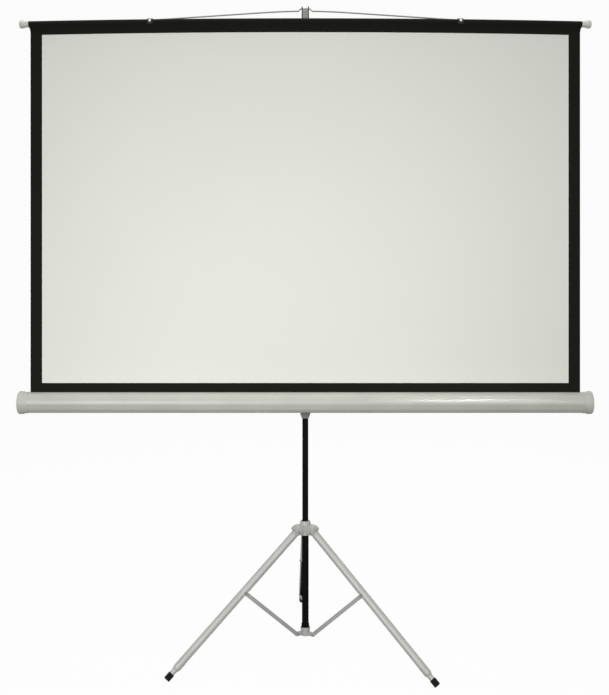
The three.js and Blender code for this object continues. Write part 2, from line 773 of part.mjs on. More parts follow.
// A lug of the head: two cheeks under a roof that lies along the open leg.
function headLug() {
  const roof = headSlot + roofThickness;
  const roofTopZ = headTopZ - roofDrop;
  const lip = offLeg(roofLip, roof);
  const ridge = offLeg((roofTopZ - offLeg(0, roof).y) / alongLeg.y, roof);
  const shape = new THREE.Shape();
  shape.moveTo(0, headPivotZ - cheekRadius);
  shape.lineTo(pivotRadius, headPivotZ - cheekRadius);
  const lipTurn = legAngle - Math.asin(roofLip / cheekRadius);
  shape.absarc(pivotRadius, headPivotZ, cheekRadius, -Math.PI / 2, lipTurn);
  shape.lineTo(lip.x, lip.y);
  shape.lineTo(ridge.x, ridge.y);
  shape.lineTo(0, roofTopZ);
  return facePlate(shape, -cheekOuter, cheekOuter);
}

// The room that the top of a leg swings in.
function legRoom() {
  const outerX = 2 * pivotRadius;
  const eave = offLeg((outerX - offLeg(0, headSlot).x) / alongLeg.x, headSlot);
  const shape = new THREE.Shape();
  shape.moveTo(pivotRadius - headSlot, headBottomZ - over);
  shape.lineTo(outerX, headBottomZ - over);
  shape.lineTo(eave.x, eave.y);
  shape.absarc(pivotRadius, headPivotZ, headSlot, legAngle, Math.PI);
  return facePlate(shape, -headSlot, headSlot);
}

function tripodHead() {
  const body = turned(axisZ, [
    [0, headBottomZ],
    [headBodyRadius, headBottomZ],
    [headBodyRadius, headTopZ - headShoulder],
    [headTopRadius, headTopZ],
    [0, headTopZ],
  ]);
  const lugs = [];
  const holes = [];
  for (const { turn } of sectors) {
    lugs.push(headLug().rotateZ(turn));
    holes.push(legRoom().rotateZ(turn));
    const pinHole = bar(axisY, pinRadius + gap, -2 * cheekOuter, 2 * cheekOuter);
    holes.push(pinHole.translate(pivotRadius, 0, headPivotZ).rotateZ(turn));
  }
  const bore = squareBar(columnSide + 2 * collarPlay, headBottomZ - over, headTopZ + over);
  return cut(join(body, ...lugs), bore, ...holes);
}
part('tripod_head', tripodHead(), finishes.silver);

function baseHub() {
  const hubBottomZ = columnBottomZ - gap - hubFloor;
  const body = turned(axisZ, [
    [0, hubBottomZ],
    [hubBodyRadius - hubChamfer, hubBottomZ],
    [hubBodyRadius, hubBottomZ + hubChamfer],
    [hubBodyRadius, hubTopZ],
    [0, hubTopZ],
  ]);
  const ears = [];
  const holes = [];
  for (const { turn } of sectors) {
    const shape = new THREE.Shape();
    shape.moveTo(columnSide / 2, hubPivotZ - earRadius);
    shape.lineTo(pivotRadius, hubPivotZ - earRadius);
    shape.absarc(pivotRadius, hubPivotZ, earRadius, -Math.PI / 2, Math.PI / 2);
    shape.lineTo(columnSide / 2, hubPivotZ + earRadius);
    ears.push(facePlate(shape, -earThickness - gap / 2, -gap / 2).rotateZ(turn));
    const pinHole = bar(axisY, pinRadius + gap, -2 * earThickness, 2 * earThickness);
    holes.push(pinHole.translate(pivotRadius, 0, hubPivotZ).rotateZ(turn));
  }
  const pocket = squareBar(columnSide + 2 * collarPlay, columnBottomZ - gap, hubTopZ + over);
  return cut(join(body, ...ears), pocket, ...holes);
}
part('base_hub', baseHub(), finishes.silver);

// A riveted pin along Y: a shank with a flat head at each end.
function rivetPin(fromY, toY) {
  return join(
    bar(axisY, pinRadius, fromY - over, toY + over),
    bar(axisY, pinHeadRadius, fromY - pinHeadHeight, fromY),
    bar(axisY, pinHeadRadius, toY, toY + pinHeadHeight),
  );
}

const legAxisLength = headPivotZ / Math.cos(legAngle);
const footEndZ = footRubberRadius * Math.sin(legAngle) - footCut;
const footEnd = legAxisLength - footEndZ / Math.cos(legAngle);
const footStart = footEnd - footLength;
const tubeEnd = footStart + footOverlap;
const neckStart = tubeEnd - neckLength;
const taperStart = neckStart - neckTaper;
const legInner = legRadius - legWall;
const neckInner = neckRadius - legWall;

// The leg is made hanging straight down from its pivot and then swung out.
function legTube() {
  const tube = turned(axisZ, [
    [legInner, -legTopGap],
    [legInner, -taperStart],
    [neckInner, -neckStart],
    [neckInner, -tubeEnd],
    [neckRadius, -tubeEnd],
    [neckRadius, -neckStart],
    [legRadius, -taperStart],
    [legRadius, -legTopGap],
    [legInner, -legTopGap],
  ]);
  const slotTop = -linkLength + spreaderWidth;
  const slotBottom = -2 * linkLength - 3 * earRadius;
  const slot = block(-2 * legRadius, 0, -slotHalfWidth, slotHalfWidth, slotBottom, slotTop);
  const pinHole = bar(axisY, pinRadius + gap, -2 * legRadius, 2 * legRadius).translate(0, 0, -linkLength);
  return cut(tube, slot, pinHole);
}

function legPlug() {
  const eye = bar(axisY, legRadius - gap, -legRadius, legRadius, roundSides);
  const shoulder = bar(axisZ, legRadius - gap, -legTopGap + gap, 0, roundSides);
  const stem = bar(axisZ, legInner - gap, -legTopGap - legRadius * 2, 0, roundSides);
  const pinHole = bar(axisY, pinRadius + gap, -2 * legRadius, 2 * legRadius);
  return cut(join(eye, shoulder, stem), pinHole);
}

// The rubber foot is turned about the leg's axis; its lower corner is cut flat on the floor.
function legFoot() {
  const bore = neckRadius + gap;
  const foot = turned(axisZ, [
    [bore, -footStart],
    [footRubberRadius - footLip / 2, -footStart],
    [footRubberRadius, -footStart - footLip],
    ...roundEdge(footRubberRadius, -footEnd, footRounding, 1).reverse(),
    [0, -footEnd],
    [0, -tubeEnd - gap],
    [bore, -tubeEnd - gap],
    [bore, -footStart],
  ]);
  foot.rotateY(-legAngle);
  const underZ = -headPivotZ - footLength;
  const floor = block(-legAxisLength, legAxisLength, -legRadius, legRadius, underZ, -headPivotZ);
  return cut(foot, floor);
}

for (const { name, turn } of sectors) {
  const sector = subgroup(screen, 0, 0, 0);
  sector.rotation.z = turn;

  const leg = subgroup(sector, pivotRadius, 0, headPivotZ);
  leg.rotation.y = -legAngle;
  part(`leg_tube_${name}`, legTube(), finishes.silver, leg);
  part(`leg_plug_${name}`, legPlug(), finishes.silver, leg);
  const legPin = part(`leg_pin_${name}`, rivetPin(-legRadius - gap, legRadius + gap), finishes.steel, leg);
  legPin.position.z = -linkLength;
  const foot = subgroup(sector, pivotRadius, 0, headPivotZ);
  part(`leg_foot_${name}`, legFoot(), finishes.rubber, foot);

  const headPinEnd = cheekOuter + gap;
  const headPin = part(`head_pin_${name}`, rivetPin(-headPinEnd, headPinEnd), finishes.steel, sector);
  headPin.position.set(pivotRadius, 0, headPivotZ);

  const spreader = subgroup(sector, pivotRadius, 0, hubPivotZ);
  spreader.rotation.y = legAngle;
  const shape = new THREE.Shape();
  shape.absarc(0, 0, spreaderWidth / 2, Math.PI, 2 * Math.PI);
  shape.absarc(0, linkLength, spreaderWidth / 2, 0, Math.PI);
  for (const place of [0, linkLength]) {
    const hole = new THREE.Path();
    hole.absarc(0, place, pinRadius + gap, 0, 2 * Math.PI);
    shape.holes.push(hole);
  }
  const inner = gap / 2;
  part(`spreader_${name}`, facePlate(shape, inner, inner + spreaderThickness), finishes.silver, spreader);
  const hubPinFrom = -earThickness - gap / 2 - gap;
  const hubPinTo = inner + spreaderThickness + gap;
  const hubPin = part(`hub_pin_${name}`, rivetPin(hubPinFrom, hubPinTo), finishes.steel, sector);
  hubPin.position.set(pivotRadius, 0, hubPivotZ);
}

// The origin is the middle of the footprint, on the floor.
screen.updateMatrixWorld(true);
const footprint = new THREE.Box3().setFromObject(screen, true).getCenter(new THREE.Vector3());
screen.position.set(-footprint.x, -footprint.y, 0);
screen.updateMatrixWorld(true);

export default screen;
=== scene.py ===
import json
import math
import bmesh
import bpy
import numpy as np
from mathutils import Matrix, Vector


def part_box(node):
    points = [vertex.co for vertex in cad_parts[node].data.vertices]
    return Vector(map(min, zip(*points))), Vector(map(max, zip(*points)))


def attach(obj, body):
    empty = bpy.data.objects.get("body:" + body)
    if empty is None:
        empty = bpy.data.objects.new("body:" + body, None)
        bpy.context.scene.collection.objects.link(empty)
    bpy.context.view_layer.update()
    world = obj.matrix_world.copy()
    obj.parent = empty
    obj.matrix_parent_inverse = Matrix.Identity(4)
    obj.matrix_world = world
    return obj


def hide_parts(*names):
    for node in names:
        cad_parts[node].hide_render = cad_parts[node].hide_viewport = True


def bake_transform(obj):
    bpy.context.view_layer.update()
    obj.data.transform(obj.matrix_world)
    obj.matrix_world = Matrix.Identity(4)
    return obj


# Tripod projection screen. Metres, +Z up, the picture faces -Y, the frame gives every place.
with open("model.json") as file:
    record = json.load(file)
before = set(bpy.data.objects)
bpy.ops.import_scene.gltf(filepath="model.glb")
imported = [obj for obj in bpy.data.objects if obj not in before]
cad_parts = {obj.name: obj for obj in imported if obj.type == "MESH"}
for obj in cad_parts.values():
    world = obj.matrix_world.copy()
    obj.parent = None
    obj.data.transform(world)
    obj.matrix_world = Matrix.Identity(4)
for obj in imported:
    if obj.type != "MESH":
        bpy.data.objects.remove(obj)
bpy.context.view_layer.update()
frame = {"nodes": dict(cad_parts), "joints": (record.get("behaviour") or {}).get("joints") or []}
nodes = frame["nodes"]
joints = {joint["name"]: joint for joint in frame["joints"]}
xAxis, yAxis, zAxis = np.eye(3)
print("frame loaded:", len(nodes), "nodes")


def jointPoint(name):
    # where a joint turns or slides
    return np.array(joints[name]["pos_m"], float)


def corners(node):
    # the low and the high corner of a node's box
    low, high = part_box(node)
    return np.array(low), np.array(high)


columnY = jointPoint("case_pivot")[1]
columnHalf = corners("column_tube")[1][0]
caseCentre = jointPoint("roller_turn")
bailPivot = jointPoint("bail_swing")
sheetY = sum(box[1] for box in corners("screen_border")) / 2
columnAxis = np.array([0.0, columnY, 0.0])


# Shapes. A shell holds points, faces and one UV pair for each face corner, in metres along the surface.

def runningLength(points, axis):
    # how far each row lies along one direction of the grid, averaged over the other
    steps = np.linalg.norm(np.diff(points, axis=axis, append=np.take(points, [0], axis=axis)), axis=2)
    return np.concatenate([[0.0], np.cumsum(steps.mean(axis=1 - axis))])


def shell(points, closed=True, startCap=True, endCap=True, loop=False):
    # points[i, j]: i runs along the path and j round the section, quads join neighbours
    rows, cols = points.shape[:2]
    steps = np.arange(rows if loop else rows - 1), np.arange(cols if closed else cols - 1)
    i, j = (grid.ravel() for grid in np.meshgrid(*steps, indexing="ij"))
    ring = [(i, j), (i + 1, j), (i + 1, j + 1), (i, j + 1)]
    quads = np.stack([(a % rows) * cols + b % cols for a, b in ring], axis=1)
    along, around = runningLength(points, 0), runningLength(points, 1)
    flow = np.stack([np.stack([around[b], along[a]], axis=1) for a, b in ring], axis=1).reshape(-1, 2)
    caps = []
    if not loop:
        caps += [np.arange(cols)] if startCap else []
        caps += [np.arange(cols) + (rows - 1) * cols] if endCap else []
    capFlow = [np.stack([around[:cols], np.full(cols, along[cap[0] // cols])], axis=1) for cap in caps]
    return {"points": points.reshape(-1, 3), "quads": quads, "caps": caps,
            "flow": np.concatenate([flow, *capFlow])}


def rounded(points, sizes, closed=True, steps=4, limit=0.48):
    # each corner becomes a quadratic curve that starts and ends "size" away from it along its two edges,
    # or at the limit's share of an edge where that is less
    points = np.asarray(points, float)
    sizes = np.broadcast_to(np.asarray(sizes, float), len(points))
    t = np.linspace(0, 1, steps + 1)[:, None]
    out = []
    for k, (corner, size) in enumerate(zip(points, sizes)):
        if size <= 0 or (not closed and k in (0, len(points) - 1)):
            out.append(corner[None])
            continue
        before, after = points[k - 1] - corner, points[(k + 1) % len(points)] - corner
        a = corner + before * min(size / np.linalg.norm(before), limit)
        b = corner + after * min(size / np.linalg.norm(after), limit)
        out.append((1 - t) ** 2 * a + 2 * t * (1 - t) * corner + t ** 2 * b)
    return np.concatenate(out)


def inset(outline, distance):
    # moves each point of a closed outline inwards along its mitre
    edge = np.roll(outline, -1, axis=0) - outline
    edge /= np.linalg.norm(edge, axis=1, keepdims=True)
    normal = np.stack([edge[:, 1], -edge[:, 0]], axis=1)
    area = np.sum(outline[:, 0] * np.roll(outline[:, 1], -1) - np.roll(outline[:, 0], -1) * outline[:, 1])
    normal *= np.sign(area)
    before = np.roll(normal, 1, axis=0)
    mitre = (normal + before) / (1 + np.sum(normal * before, axis=1, keepdims=True))
    return outline - mitre * distance


def carry(section, path, sideways=xAxis, upwards=yAxis, **caps):
    # a flat section carried along a path: place + across * sideways + rise * upwards
    section = np.asarray(section, float)
    sideways, upwards = np.atleast_2d(sideways)[:, None], np.atleast_2d(upwards)[:, None]
    points = np.asarray(path)[:, None] + section[None, :, :1] * sideways + section[None, :, 1:] * upwards
    return shell(points, **caps)


def crosswise(axis, upright=0.9):
    # two directions square to an axis, the first level unless the axis is nearly upright
    other = zAxis if abs(axis[2]) < upright else xAxis
    first = np.cross(other, axis)
    first = first / np.linalg.norm(first)
    return first, np.cross(axis, first)


def turn(profile, origin, axis, sides, rounds=0, steps=4, loop=False):
    # rows of (radius, place), their corners rounded, swept once round the axis
    profile = rounded(profile, rounds, closed=loop, steps=steps)
    axis = np.asarray(axis, float) / np.linalg.norm(axis)
    first, second = crosswise(axis)
    angle = np.linspace(0, 2 * np.pi, sides, endpoint=False)
    spoke = np.cos(angle)[:, None] * first + np.sin(angle)[:, None] * second
    points = origin + profile[:, None, 1:] * axis + profile[:, None, :1] * spoke[None]
    return shell(points, loop=loop)


def stacked(rows, origin, sideways, upwards, loop=False):
    # outlines at places along their normal, joined row to row
    outlines = np.stack([outline for outline, _ in rows])
    place = np.array([place for _, place in rows])[:, None, None]
    points = origin + outlines[..., :1] * sideways + outlines[..., 1:] * upwards
    return shell(points + place * np.cross(sideways, upwards), loop=loop)


def plate(outline, start, end, origin, sideways, upwards, edge=0.0006):
    # an outline given thickness from start to end along its normal, with quarter-round edges
    outline = np.asarray(outline, float)
    rim = [(inset(outline, edge * (1 - math.sin(bend))), edge * (1 - math.cos(bend)))
           for bend in np.linspace(0, np.pi / 2, 4)]
    rows = [(ring, start + rise) for ring, rise in rim] + [(ring, end - rise) for ring, rise in rim[::-1]]
    return stacked(rows, origin, sideways, upwards)


def columnWall(outer, inner):
    # outlines round the column, up the outside and back down the inside, joined into one closed wall
    return stacked(outer + inner[::-1], columnAxis, xAxis, yAxis, loop=True)


def roundedBox(corner, halfX, halfY=None):
    # a square or a rectangle about the origin with round corners
    halfY = halfY or halfX
    points = [(-halfX, -halfY), (halfX, -halfY), (halfX, halfY), (-halfX, halfY)]
    return rounded(points, corner, steps=5)


def arc(centre, radius, start, end, steps):
    # points at even angles, given in degrees
    angle = np.radians(np.linspace(start, end, steps))
    return np.stack([centre[0] + radius * np.cos(angle), centre[1] + radius * np.sin(angle)], axis=1)


def addPiece(name, shells, finishList, body, replaced, faceFinish=None, sharp=32):
    # one smooth mesh of all the shells, with edges over the sharp angle kept crisp, parented to its body's
    # empty, with the parts it replaces hidden
    shells = shells if isinstance(shells, list) else [shells]
    finishList = finishList if isinstance(finishList, list) else [finishList]
    points, faces, flows, first = [], [], [], 0
    for each in shells:
        points.append(each["points"])
        faces += (each["quads"] + first).tolist() + [(cap + first).tolist() for cap in each["caps"]]
        flows.append(each["flow"])
        first += len(each["points"])
    mesh = bpy.data.meshes.new(name)
    mesh.from_pydata(np.concatenate(points).tolist(), [], faces)
    mesh.uv_layers.new(name="flow").data.foreach_set("uv", np.concatenate(flows).astype(np.float32).ravel())
    for finish in finishList:
        mesh.materials.append(finish)
    if faceFinish is not None:
        mesh.polygons.foreach_set("material_index", np.asarray(faceFinish, np.int32))
    work = bmesh.new()
    work.from_mesh(mesh)
    bmesh.ops.recalc_face_normals(work, faces=work.faces)
    work.to_mesh(mesh)
    work.free()
    mesh.polygons.foreach_set("use_smooth", np.ones(len(mesh.polygons), bool))
    mesh.set_sharp_from_angle(angle=math.radians(sharp))
    mesh.update()
    piece = bpy.data.objects.new(name, mesh)
    bpy.context.scene.collection.objects.link(piece)
    if body:
        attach(piece, body)
    if replaced:
        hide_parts(*replaced)
    return piece


# Finishes. Each is a Principled surface whose colour, roughness and bump come from noise in metres.

def linear(rgb):
    # an sRGB colour from 0 to 255 as linear light
    value = np.array(rgb) / 255
    return np.where(value < 0.04045, value / 12.92, ((value + 0.055) / 1.055) ** 2.4)


class Finish:
    def __init__(self, name, roughness=0.5, metallic=0.0, **sockets):
        self.material = bpy.data.materials.new(name)
        self.material.use_nodes = True
        self.tree = self.material.node_tree
        self.shader = self.tree.nodes["Principled BSDF"]
        self.shader.inputs["Roughness"].default_value = roughness
        self.shader.inputs["Metallic"].default_value = metallic
        for key, value in sockets.items():
            self.shader.inputs[key.replace("_", " ")].default_value = value

    def node(self, kind, inputs=None, **settings):
        # a node with its settings; an input that is a socket is linked, any other is set
        made = self.tree.nodes.new(kind)
        for key, value in settings.items():
            setattr(made, key, value)
        for key, value in (inputs or {}).items():
            if isinstance(value, bpy.types.NodeSocket):
                self.tree.links.new(value, made.inputs[key])
            else:
                made.inputs[key].default_value = value
        return made

    def link(self, socket, name):
        self.tree.links.new(socket, self.shader.inputs[name])

    def place(self, source="Object", stretch=(1, 1, 1)):
        # the surface's own coordinates times the stretch
        coordinates = self.node("ShaderNodeTexCoord").outputs[source]
        return self.node("ShaderNodeMapping", {"Vector": coordinates, "Scale": stretch}).outputs["Vector"]

    def noise(self, scale, detail=3, source="Object", stretch=(1, 1, 1)):
        place = self.place(source, stretch)
        made = self.node("ShaderNodeTexNoise", {"Vector": place, "Scale": scale, "Detail": detail})
        return made.outputs["Fac"]

    def tint(self, factor, colour, darker, lighter, start=0.3, end=0.7):
        # the colour goes from a darker to a lighter share of itself as the factor goes from start to end
        made = self.node("ShaderNodeValToRGB", {"Fac": factor})
        for element, place, share in zip(made.color_ramp.elements, (start, end), (darker, lighter)):
            element.position = place
            element.color = (*np.minimum(linear(colour) * share, 1), 1)
        self.link(made.outputs["Color"], "Base Color")

    def rough(self, factor, low, high):
        # the roughness goes from low to high with the factor
        made = self.node("ShaderNodeMapRange", {"Value": factor, "To Min": low, "To Max": high})
        self.link(made.outputs["Result"], "Roughness")

    def bump(self, height, strength, distance):
        # the normal leans with the slope of the height
        made = self.node("ShaderNodeBump", {"Height": height, "Strength": strength, "Distance": distance})
        self.link(made.outputs["Normal"], "Normal")


def lacquer(name, colour, roughness, specular):
    # sprayed paint: faint cloudiness, orange peel a few millimetres across
    made = Finish(name, Specular_IOR_Level=specular)
    made.tint(made.noise(scale=9, detail=4), colour, darker=0.95, lighter=1.04)
    made.rough(made.noise(scale=60), low=roughness - 0.06, high=roughness + 0.06)
    made.bump(made.noise(scale=260, detail=2), strength=0.25, distance=0.00002)
    return made.material


def drawnMetal(name, colour, roughness, metallic, grain, slender=0.02):
    # plated tube: fine draw lines along the surface's own length, times faint clouds
    made = Finish(name, metallic=metallic)
    lines = made.noise(scale=1, detail=4, source="UV", stretch=(grain, grain * slender, 1))
    clouds = made.noise(scale=14)
    clouded = made.node("ShaderNodeMath", {0: lines, 1: clouds}, operation="MULTIPLY").outputs[0]
    made.tint(clouded, colour, darker=0.9, lighter=1.06, start=0.12, end=0.42)
    made.rough(lines, low=roughness - 0.08, high=roughness + 0.1)
    made.bump(lines, strength=0.12, distance=0.00004)
    return made.material


def moulded(name, colour, roughness=0.5, specular=0.5):
    # moulded plastic: fine spark-eroded grain
    made = Finish(name, Specular_IOR_Level=specular)
    made.tint(made.noise(scale=25), colour, darker=0.93, lighter=1.05)
    made.rough(made.noise(scale=40, detail=2), low=roughness - 0.07, high=roughness + 0.07)
    made.bump(made.noise(scale=1800, detail=2), strength=0.35, distance=0.00005)
    return made.material


def plainMetal(name, colour, roughness):
    # bare wire, rivets and pressings: small scuffs
    made = Finish(name, metallic=0.85)
    scuffs = made.noise(scale=320, detail=4)
    made.tint(scuffs, colour, darker=0.85, lighter=1.05)
    made.rough(scuffs, low=roughness - 0.1, high=roughness + 0.12)
    made.bump(scuffs, strength=0.15, distance=0.00003)
    return made.material


def wovenCloth(name, colour, roughness, depth, sheen=0.0, cloud=0.03, thread=420):
    # coated cloth: warp and weft waves cross on the sheet's own UV, with large faint clouds
    made = Finish(name, Sheen_Weight=sheen, Sheen_Roughness=0.5, Specular_IOR_Level=0.05)
    wave = {"Vector": made.place("UV"), "Scale": thread, "Distortion": 0.6, "Detail": 1}
    waves = [made.node("ShaderNodeTexWave", wave, bands_direction=way).outputs["Fac"] for way in ("X", "Y")]
    weave = made.node("ShaderNodeMath", {0: waves[0], 1: waves[1]}, operation="MAXIMUM").outputs[0]
    made.tint(made.noise(scale=1.6), colour, darker=1 - cloud, lighter=1 + cloud)
    made.rough(made.noise(scale=90, detail=2), low=roughness - 0.05, high=roughness + 0.05)
    made.bump(weave, strength=depth, distance=0.00006)
    return made.material


def speckledRubber(name, colour):
    # matt rubber with pale dust in its pores
    made = Finish(name, Specular_IOR_Level=0.2)
    dust = made.noise(scale=420, detail=4)
    made.tint(dust, colour, darker=1, lighter=2.2, start=0.45, end=0.85)
    made.rough(dust, low=0.7, high=0.92)
    made.bump(dust, strength=0.4, distance=0.00012)
    return made.material


caseLacquer = lacquer("case lacquer", (187, 189, 180), roughness=0.36, specular=0.38)
capPaint = lacquer("cap paint", (188, 190, 182), roughness=0.48, specular=0.34)
blackLacquer = lacquer("black lacquer", (10, 10, 8), roughness=0.6, specular=0.04)
silverTube = drawnMetal("silver tube", (185, 185, 181), roughness=0.42, metallic=0.1, grain=900)
silverCast = drawnMetal("silver pressing", (180, 181, 176), roughness=0.5, metallic=0.05, grain=300)
spreaderStrip = drawnMetal("spreader strip", (172, 173, 170), roughness=0.5, metallic=0.1, grain=500)
rodTubeFinish = drawnMetal("rod tube", (196, 197, 194), roughness=0.36, metallic=0.7, grain=700)
hiddenSteel = plainMetal("hidden steel", (150, 151, 150), roughness=0.45)
wireSteel = plainMetal("wire steel", (124, 125, 121), roughness=0.45)
hookSteel = plainMetal("hook steel", (128, 129, 126), roughness=0.42)
cheekSteel = plainMetal("cheek steel", (78, 79, 77), roughness=0.45)
rivetSteel = plainMetal("rivet steel", (136, 137, 134), roughness=0.4)
clampSteel = plainMetal("clamp steel", (190, 190, 188), roughness=0.34)
# the legs' inside: a dark grey that paints the shade inside the tubes and their slots
tubeInsidePaintedShade = plainMetal("tube inside", (46, 46, 45), roughness=0.6)
blackMould = moulded("black moulding", (16, 16, 15), specular=0.25)
greyMould = moulded("grey moulding", (112, 113, 111))
paleMould = moulded("pale moulding", (206, 208, 199), roughness=0.45)
plugMould = moulded("plug moulding", (180, 181, 176))
footRubber = speckledRubber("foot rubber", (7, 7, 7))
pictureCloth = wovenCloth("picture cloth", (232, 233, 225), roughness=0.85, depth=0.12, cloud=0.012)
borderCloth = wovenCloth("border cloth", (27, 28, 23), roughness=0.8, depth=0.3, sheen=0.02)
backingCloth = wovenCloth("backing cloth", (34, 34, 33), roughness=0.85, depth=0.3, sheen=0.03)
hemCloth = wovenCloth("hem cloth", (25, 26, 22), roughness=0.75, depth=0.35, sheen=0.03)
print("finishes made:", len(bpy.data.materials))


# Slat line: a shallow parabola, highest at the middle.
slat = {"bow": 0.010, "hemRadius": 0.010, "hemHalf": 0.919, "half": 0.934}
slatTop = corners("screen_hem")[1][2] - slat["hemRadius"]


def slatDrop(x):
    # how far the slat falls: bow * (x / half) squared
    return slat["bow"] * (np.asarray(x) / slat["hemHalf"]) ** 2


def slatZ(x):
    # the slat's height: its top less the drop
    return slatTop - slatDrop(x)


# Sheet: front and back faces of one cloth, black border round the white picture.
sheet = {"fieldColumns": 60, "fieldRows": 72, "edgeColumns": 4, "edgeRows": 5, "thickness": 0.0006,
         "ripple": 0.0006, "waves": ((1.0, 5.1, 2.0, 0.0), (0.6, 9.7, 0.0, -1.3)), "tuck": 0.004}


def makeSheet():
    clothLow, clothHigh = corners("screen_border")
    fieldLow, fieldHigh = corners("screen_field")
    topZ = slatTop - slat["hemRadius"] + sheet["tuck"]

    def spaced(stops, counts):
        runs = [np.linspace(a, b, n, endpoint=False) for a, b, n in zip(stops[:-1], stops[1:], counts)]
        return np.concatenate([*runs, stops[-1:]])

    x = spaced([clothLow[0], fieldLow[0], fieldHigh[0], clothHigh[0]],
               [sheet["edgeColumns"], sheet["fieldColumns"], sheet["edgeColumns"]])
    z = spaced([clothLow[2], fieldLow[2], fieldHigh[2], topZ],
               [sheet["edgeRows"], sheet["fieldRows"], sheet["edgeRows"]])
    # rows lean into the slat's bow: none at the picture's foot, all of it at its head
    share = np.clip((z - fieldLow[2]) / (fieldHigh[2] - fieldLow[2]), 0, 1)
    height = z[:, None] - share[:, None] * slatDrop(x)[None]
    # ripple: slow waves, size * sin(across * x + lean * rise + start), that die out at the slat and the case
    rise = ((z - z[0]) / (z[-1] - z[0]))[:, None]
    wave = sum(size * np.sin(across * x + lean * rise + start)
               for size, across, lean, start in sheet["waves"])
    depth = sheet["ripple"] * wave * np.sin(np.pi * rise)
    y = sheetY - sheet["thickness"] / 2 + depth
    front = np.stack([np.broadcast_to(x, height.shape), y, height], axis=2)
    back = front + np.array([0, sheet["thickness"], 0])
    cloth = shell(np.concatenate([front, back[:, ::-1]], axis=1))
    rows, cols = len(z) - 1, 2 * len(x)
    finish = np.full((rows, cols), 2)
    finish[:, :len(x) - 1] = 1
    inRow = slice(sheet["edgeRows"], sheet["edgeRows"] + sheet["fieldRows"])
    inColumn = slice(sheet["edgeColumns"], sheet["edgeColumns"] + sheet["fieldColumns"])
    finish[inRow, inColumn] = 0
    faceFinish = np.concatenate([finish.ravel(), [2, 2]])
    made = addPiece("screen_sheet", cloth, [pictureCloth, borderCloth, backingCloth], None,
                    ("screen_border", "screen_field"), faceFinish)
    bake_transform(made)


makeSheet()
print("sheet hung")


# Hem: the cloth turned over the slat, a drop-shaped section that closes into a flat flap.
hem = {"crownPast": 38, "flapHalf": 0.0011, "flapDepth": 0.026, "pinch": 0.0165, "stations": 121,
       "pucker": 0.00025, "puckerRate": 160}


def makeHem():
    radius = slat["hemRadius"]
    crown = arc((0, 0), radius, -hem["crownPast"], 180 + hem["crownPast"], steps=33)
    flap = [(-hem["flapHalf"], -hem["pinch"]), (-hem["flapHalf"], -hem["flapDepth"]),
            (hem["flapHalf"], -hem["flapDepth"]), (hem["flapHalf"], -hem["pinch"])]
    section = np.concatenate([crown, flap])
    # the crown runs past the cloth's edges, and the flap narrows to them by the square of its height
    clothHalf = corners("screen_border")[1][0]
    share = np.clip((section[:, 1] + hem["flapDepth"]) / (hem["flapDepth"] - radius), 0, 1)
    reach = clothHalf + (slat["hemHalf"] - clothHalf) * share ** 2
    x = np.linspace(-1, 1, hem["stations"])[:, None] * reach[None]
    # puckers: the seam gathers the crown by a hair every few centimetres
    pucker = hem["pucker"] * np.sin(x * hem["puckerRate"]) * np.clip(section[:, 0] / radius, -1, 1)[None]
    points = np.stack([x, sheetY + section[None, :, 0] + pucker, slatZ(x) + section[None, :, 1]], axis=2)
    addPiece("slat_hem", shell(points), hemCloth, "slat", ("screen_hem",), sharp=50)


makeHem()


# Stitches: one row of short threads through the flap, front and back.
stitch = {"pitch": 0.006, "length": 0.0042, "radius": 0.00035, "below": 0.0195, "sides": 6,
          "bead": ((-0.5, 0.35), (-0.3, 1.0), (0.3, 1.0), (0.5, 0.35))}


def makeStitches():
    count = int(2 * corners("screen_border")[1][0] / stitch["pitch"])
    middle = (np.arange(count) - (count - 1) / 2) * stitch["pitch"]
    # thread: a bead turned about X, (share of the length, share of the radius), moved to each place
    along, radius = (np.array(stitch["bead"]) * (stitch["length"], stitch["radius"])).T[:, :, None]
    angle = np.linspace(0, 2 * np.pi, stitch["sides"], endpoint=False)
    thread = np.stack(np.broadcast_arrays(along, radius * np.cos(angle), radius * np.sin(angle)), axis=2)
    shells = [shell(thread + (x, sheetY + side * hem["flapHalf"], slatZ(x) - stitch["below"]))
              for side in (-1, 1) for x in middle]
    addPiece("hem_stitches", shells, hemCloth, "slat", (), sharp=60)


makeStitches()
print("hem sewn")


# Knobs: turned caps on the slat's ends, a round head that draws in to a neck.
knob = {"rim": 0.0135, "neck": 0.0106, "tip": 0.0155, "root": -0.015, "bore": 0.0093, "face": 0.00135,
        "rimLength": 0.013, "taperEnd": 0.018, "clear": 0.0003, "pole": 0.0003,
        "rounds": (0, 0, 0.006, 0.006, 0.003, 0.0012, 0, 0, 0)}


def makeKnob(side, name):
    rim, neck, bore, pole = knob["rim"], knob["neck"], knob["bore"], knob["pole"]
    tip, root, clear = knob["tip"], knob["root"], knob["clear"]
    profile = [(pole, tip), (knob["face"], tip), (rim, tip), (rim, tip - knob["rimLength"]),
               (neck, tip - knob["taperEnd"]), (neck, root), (bore, root), (bore, clear), (pole, clear)]
    # it lies along the end of the slat's parabola, whose slope is 2 * bow * x / half squared
    slope = 2 * slat["bow"] * slat["half"] / slat["hemHalf"] ** 2
    origin = np.array([side * slat["half"], sheetY, slatZ(slat["half"])])
    made = turn(profile, origin, (side, 0, -slope), sides=40, rounds=knob["rounds"], steps=8)
    addPiece(name, made, paleMould, "slat", (name,))


makeKnob(-1, "slat_knob_left")
makeKnob(1, "slat_knob_right")


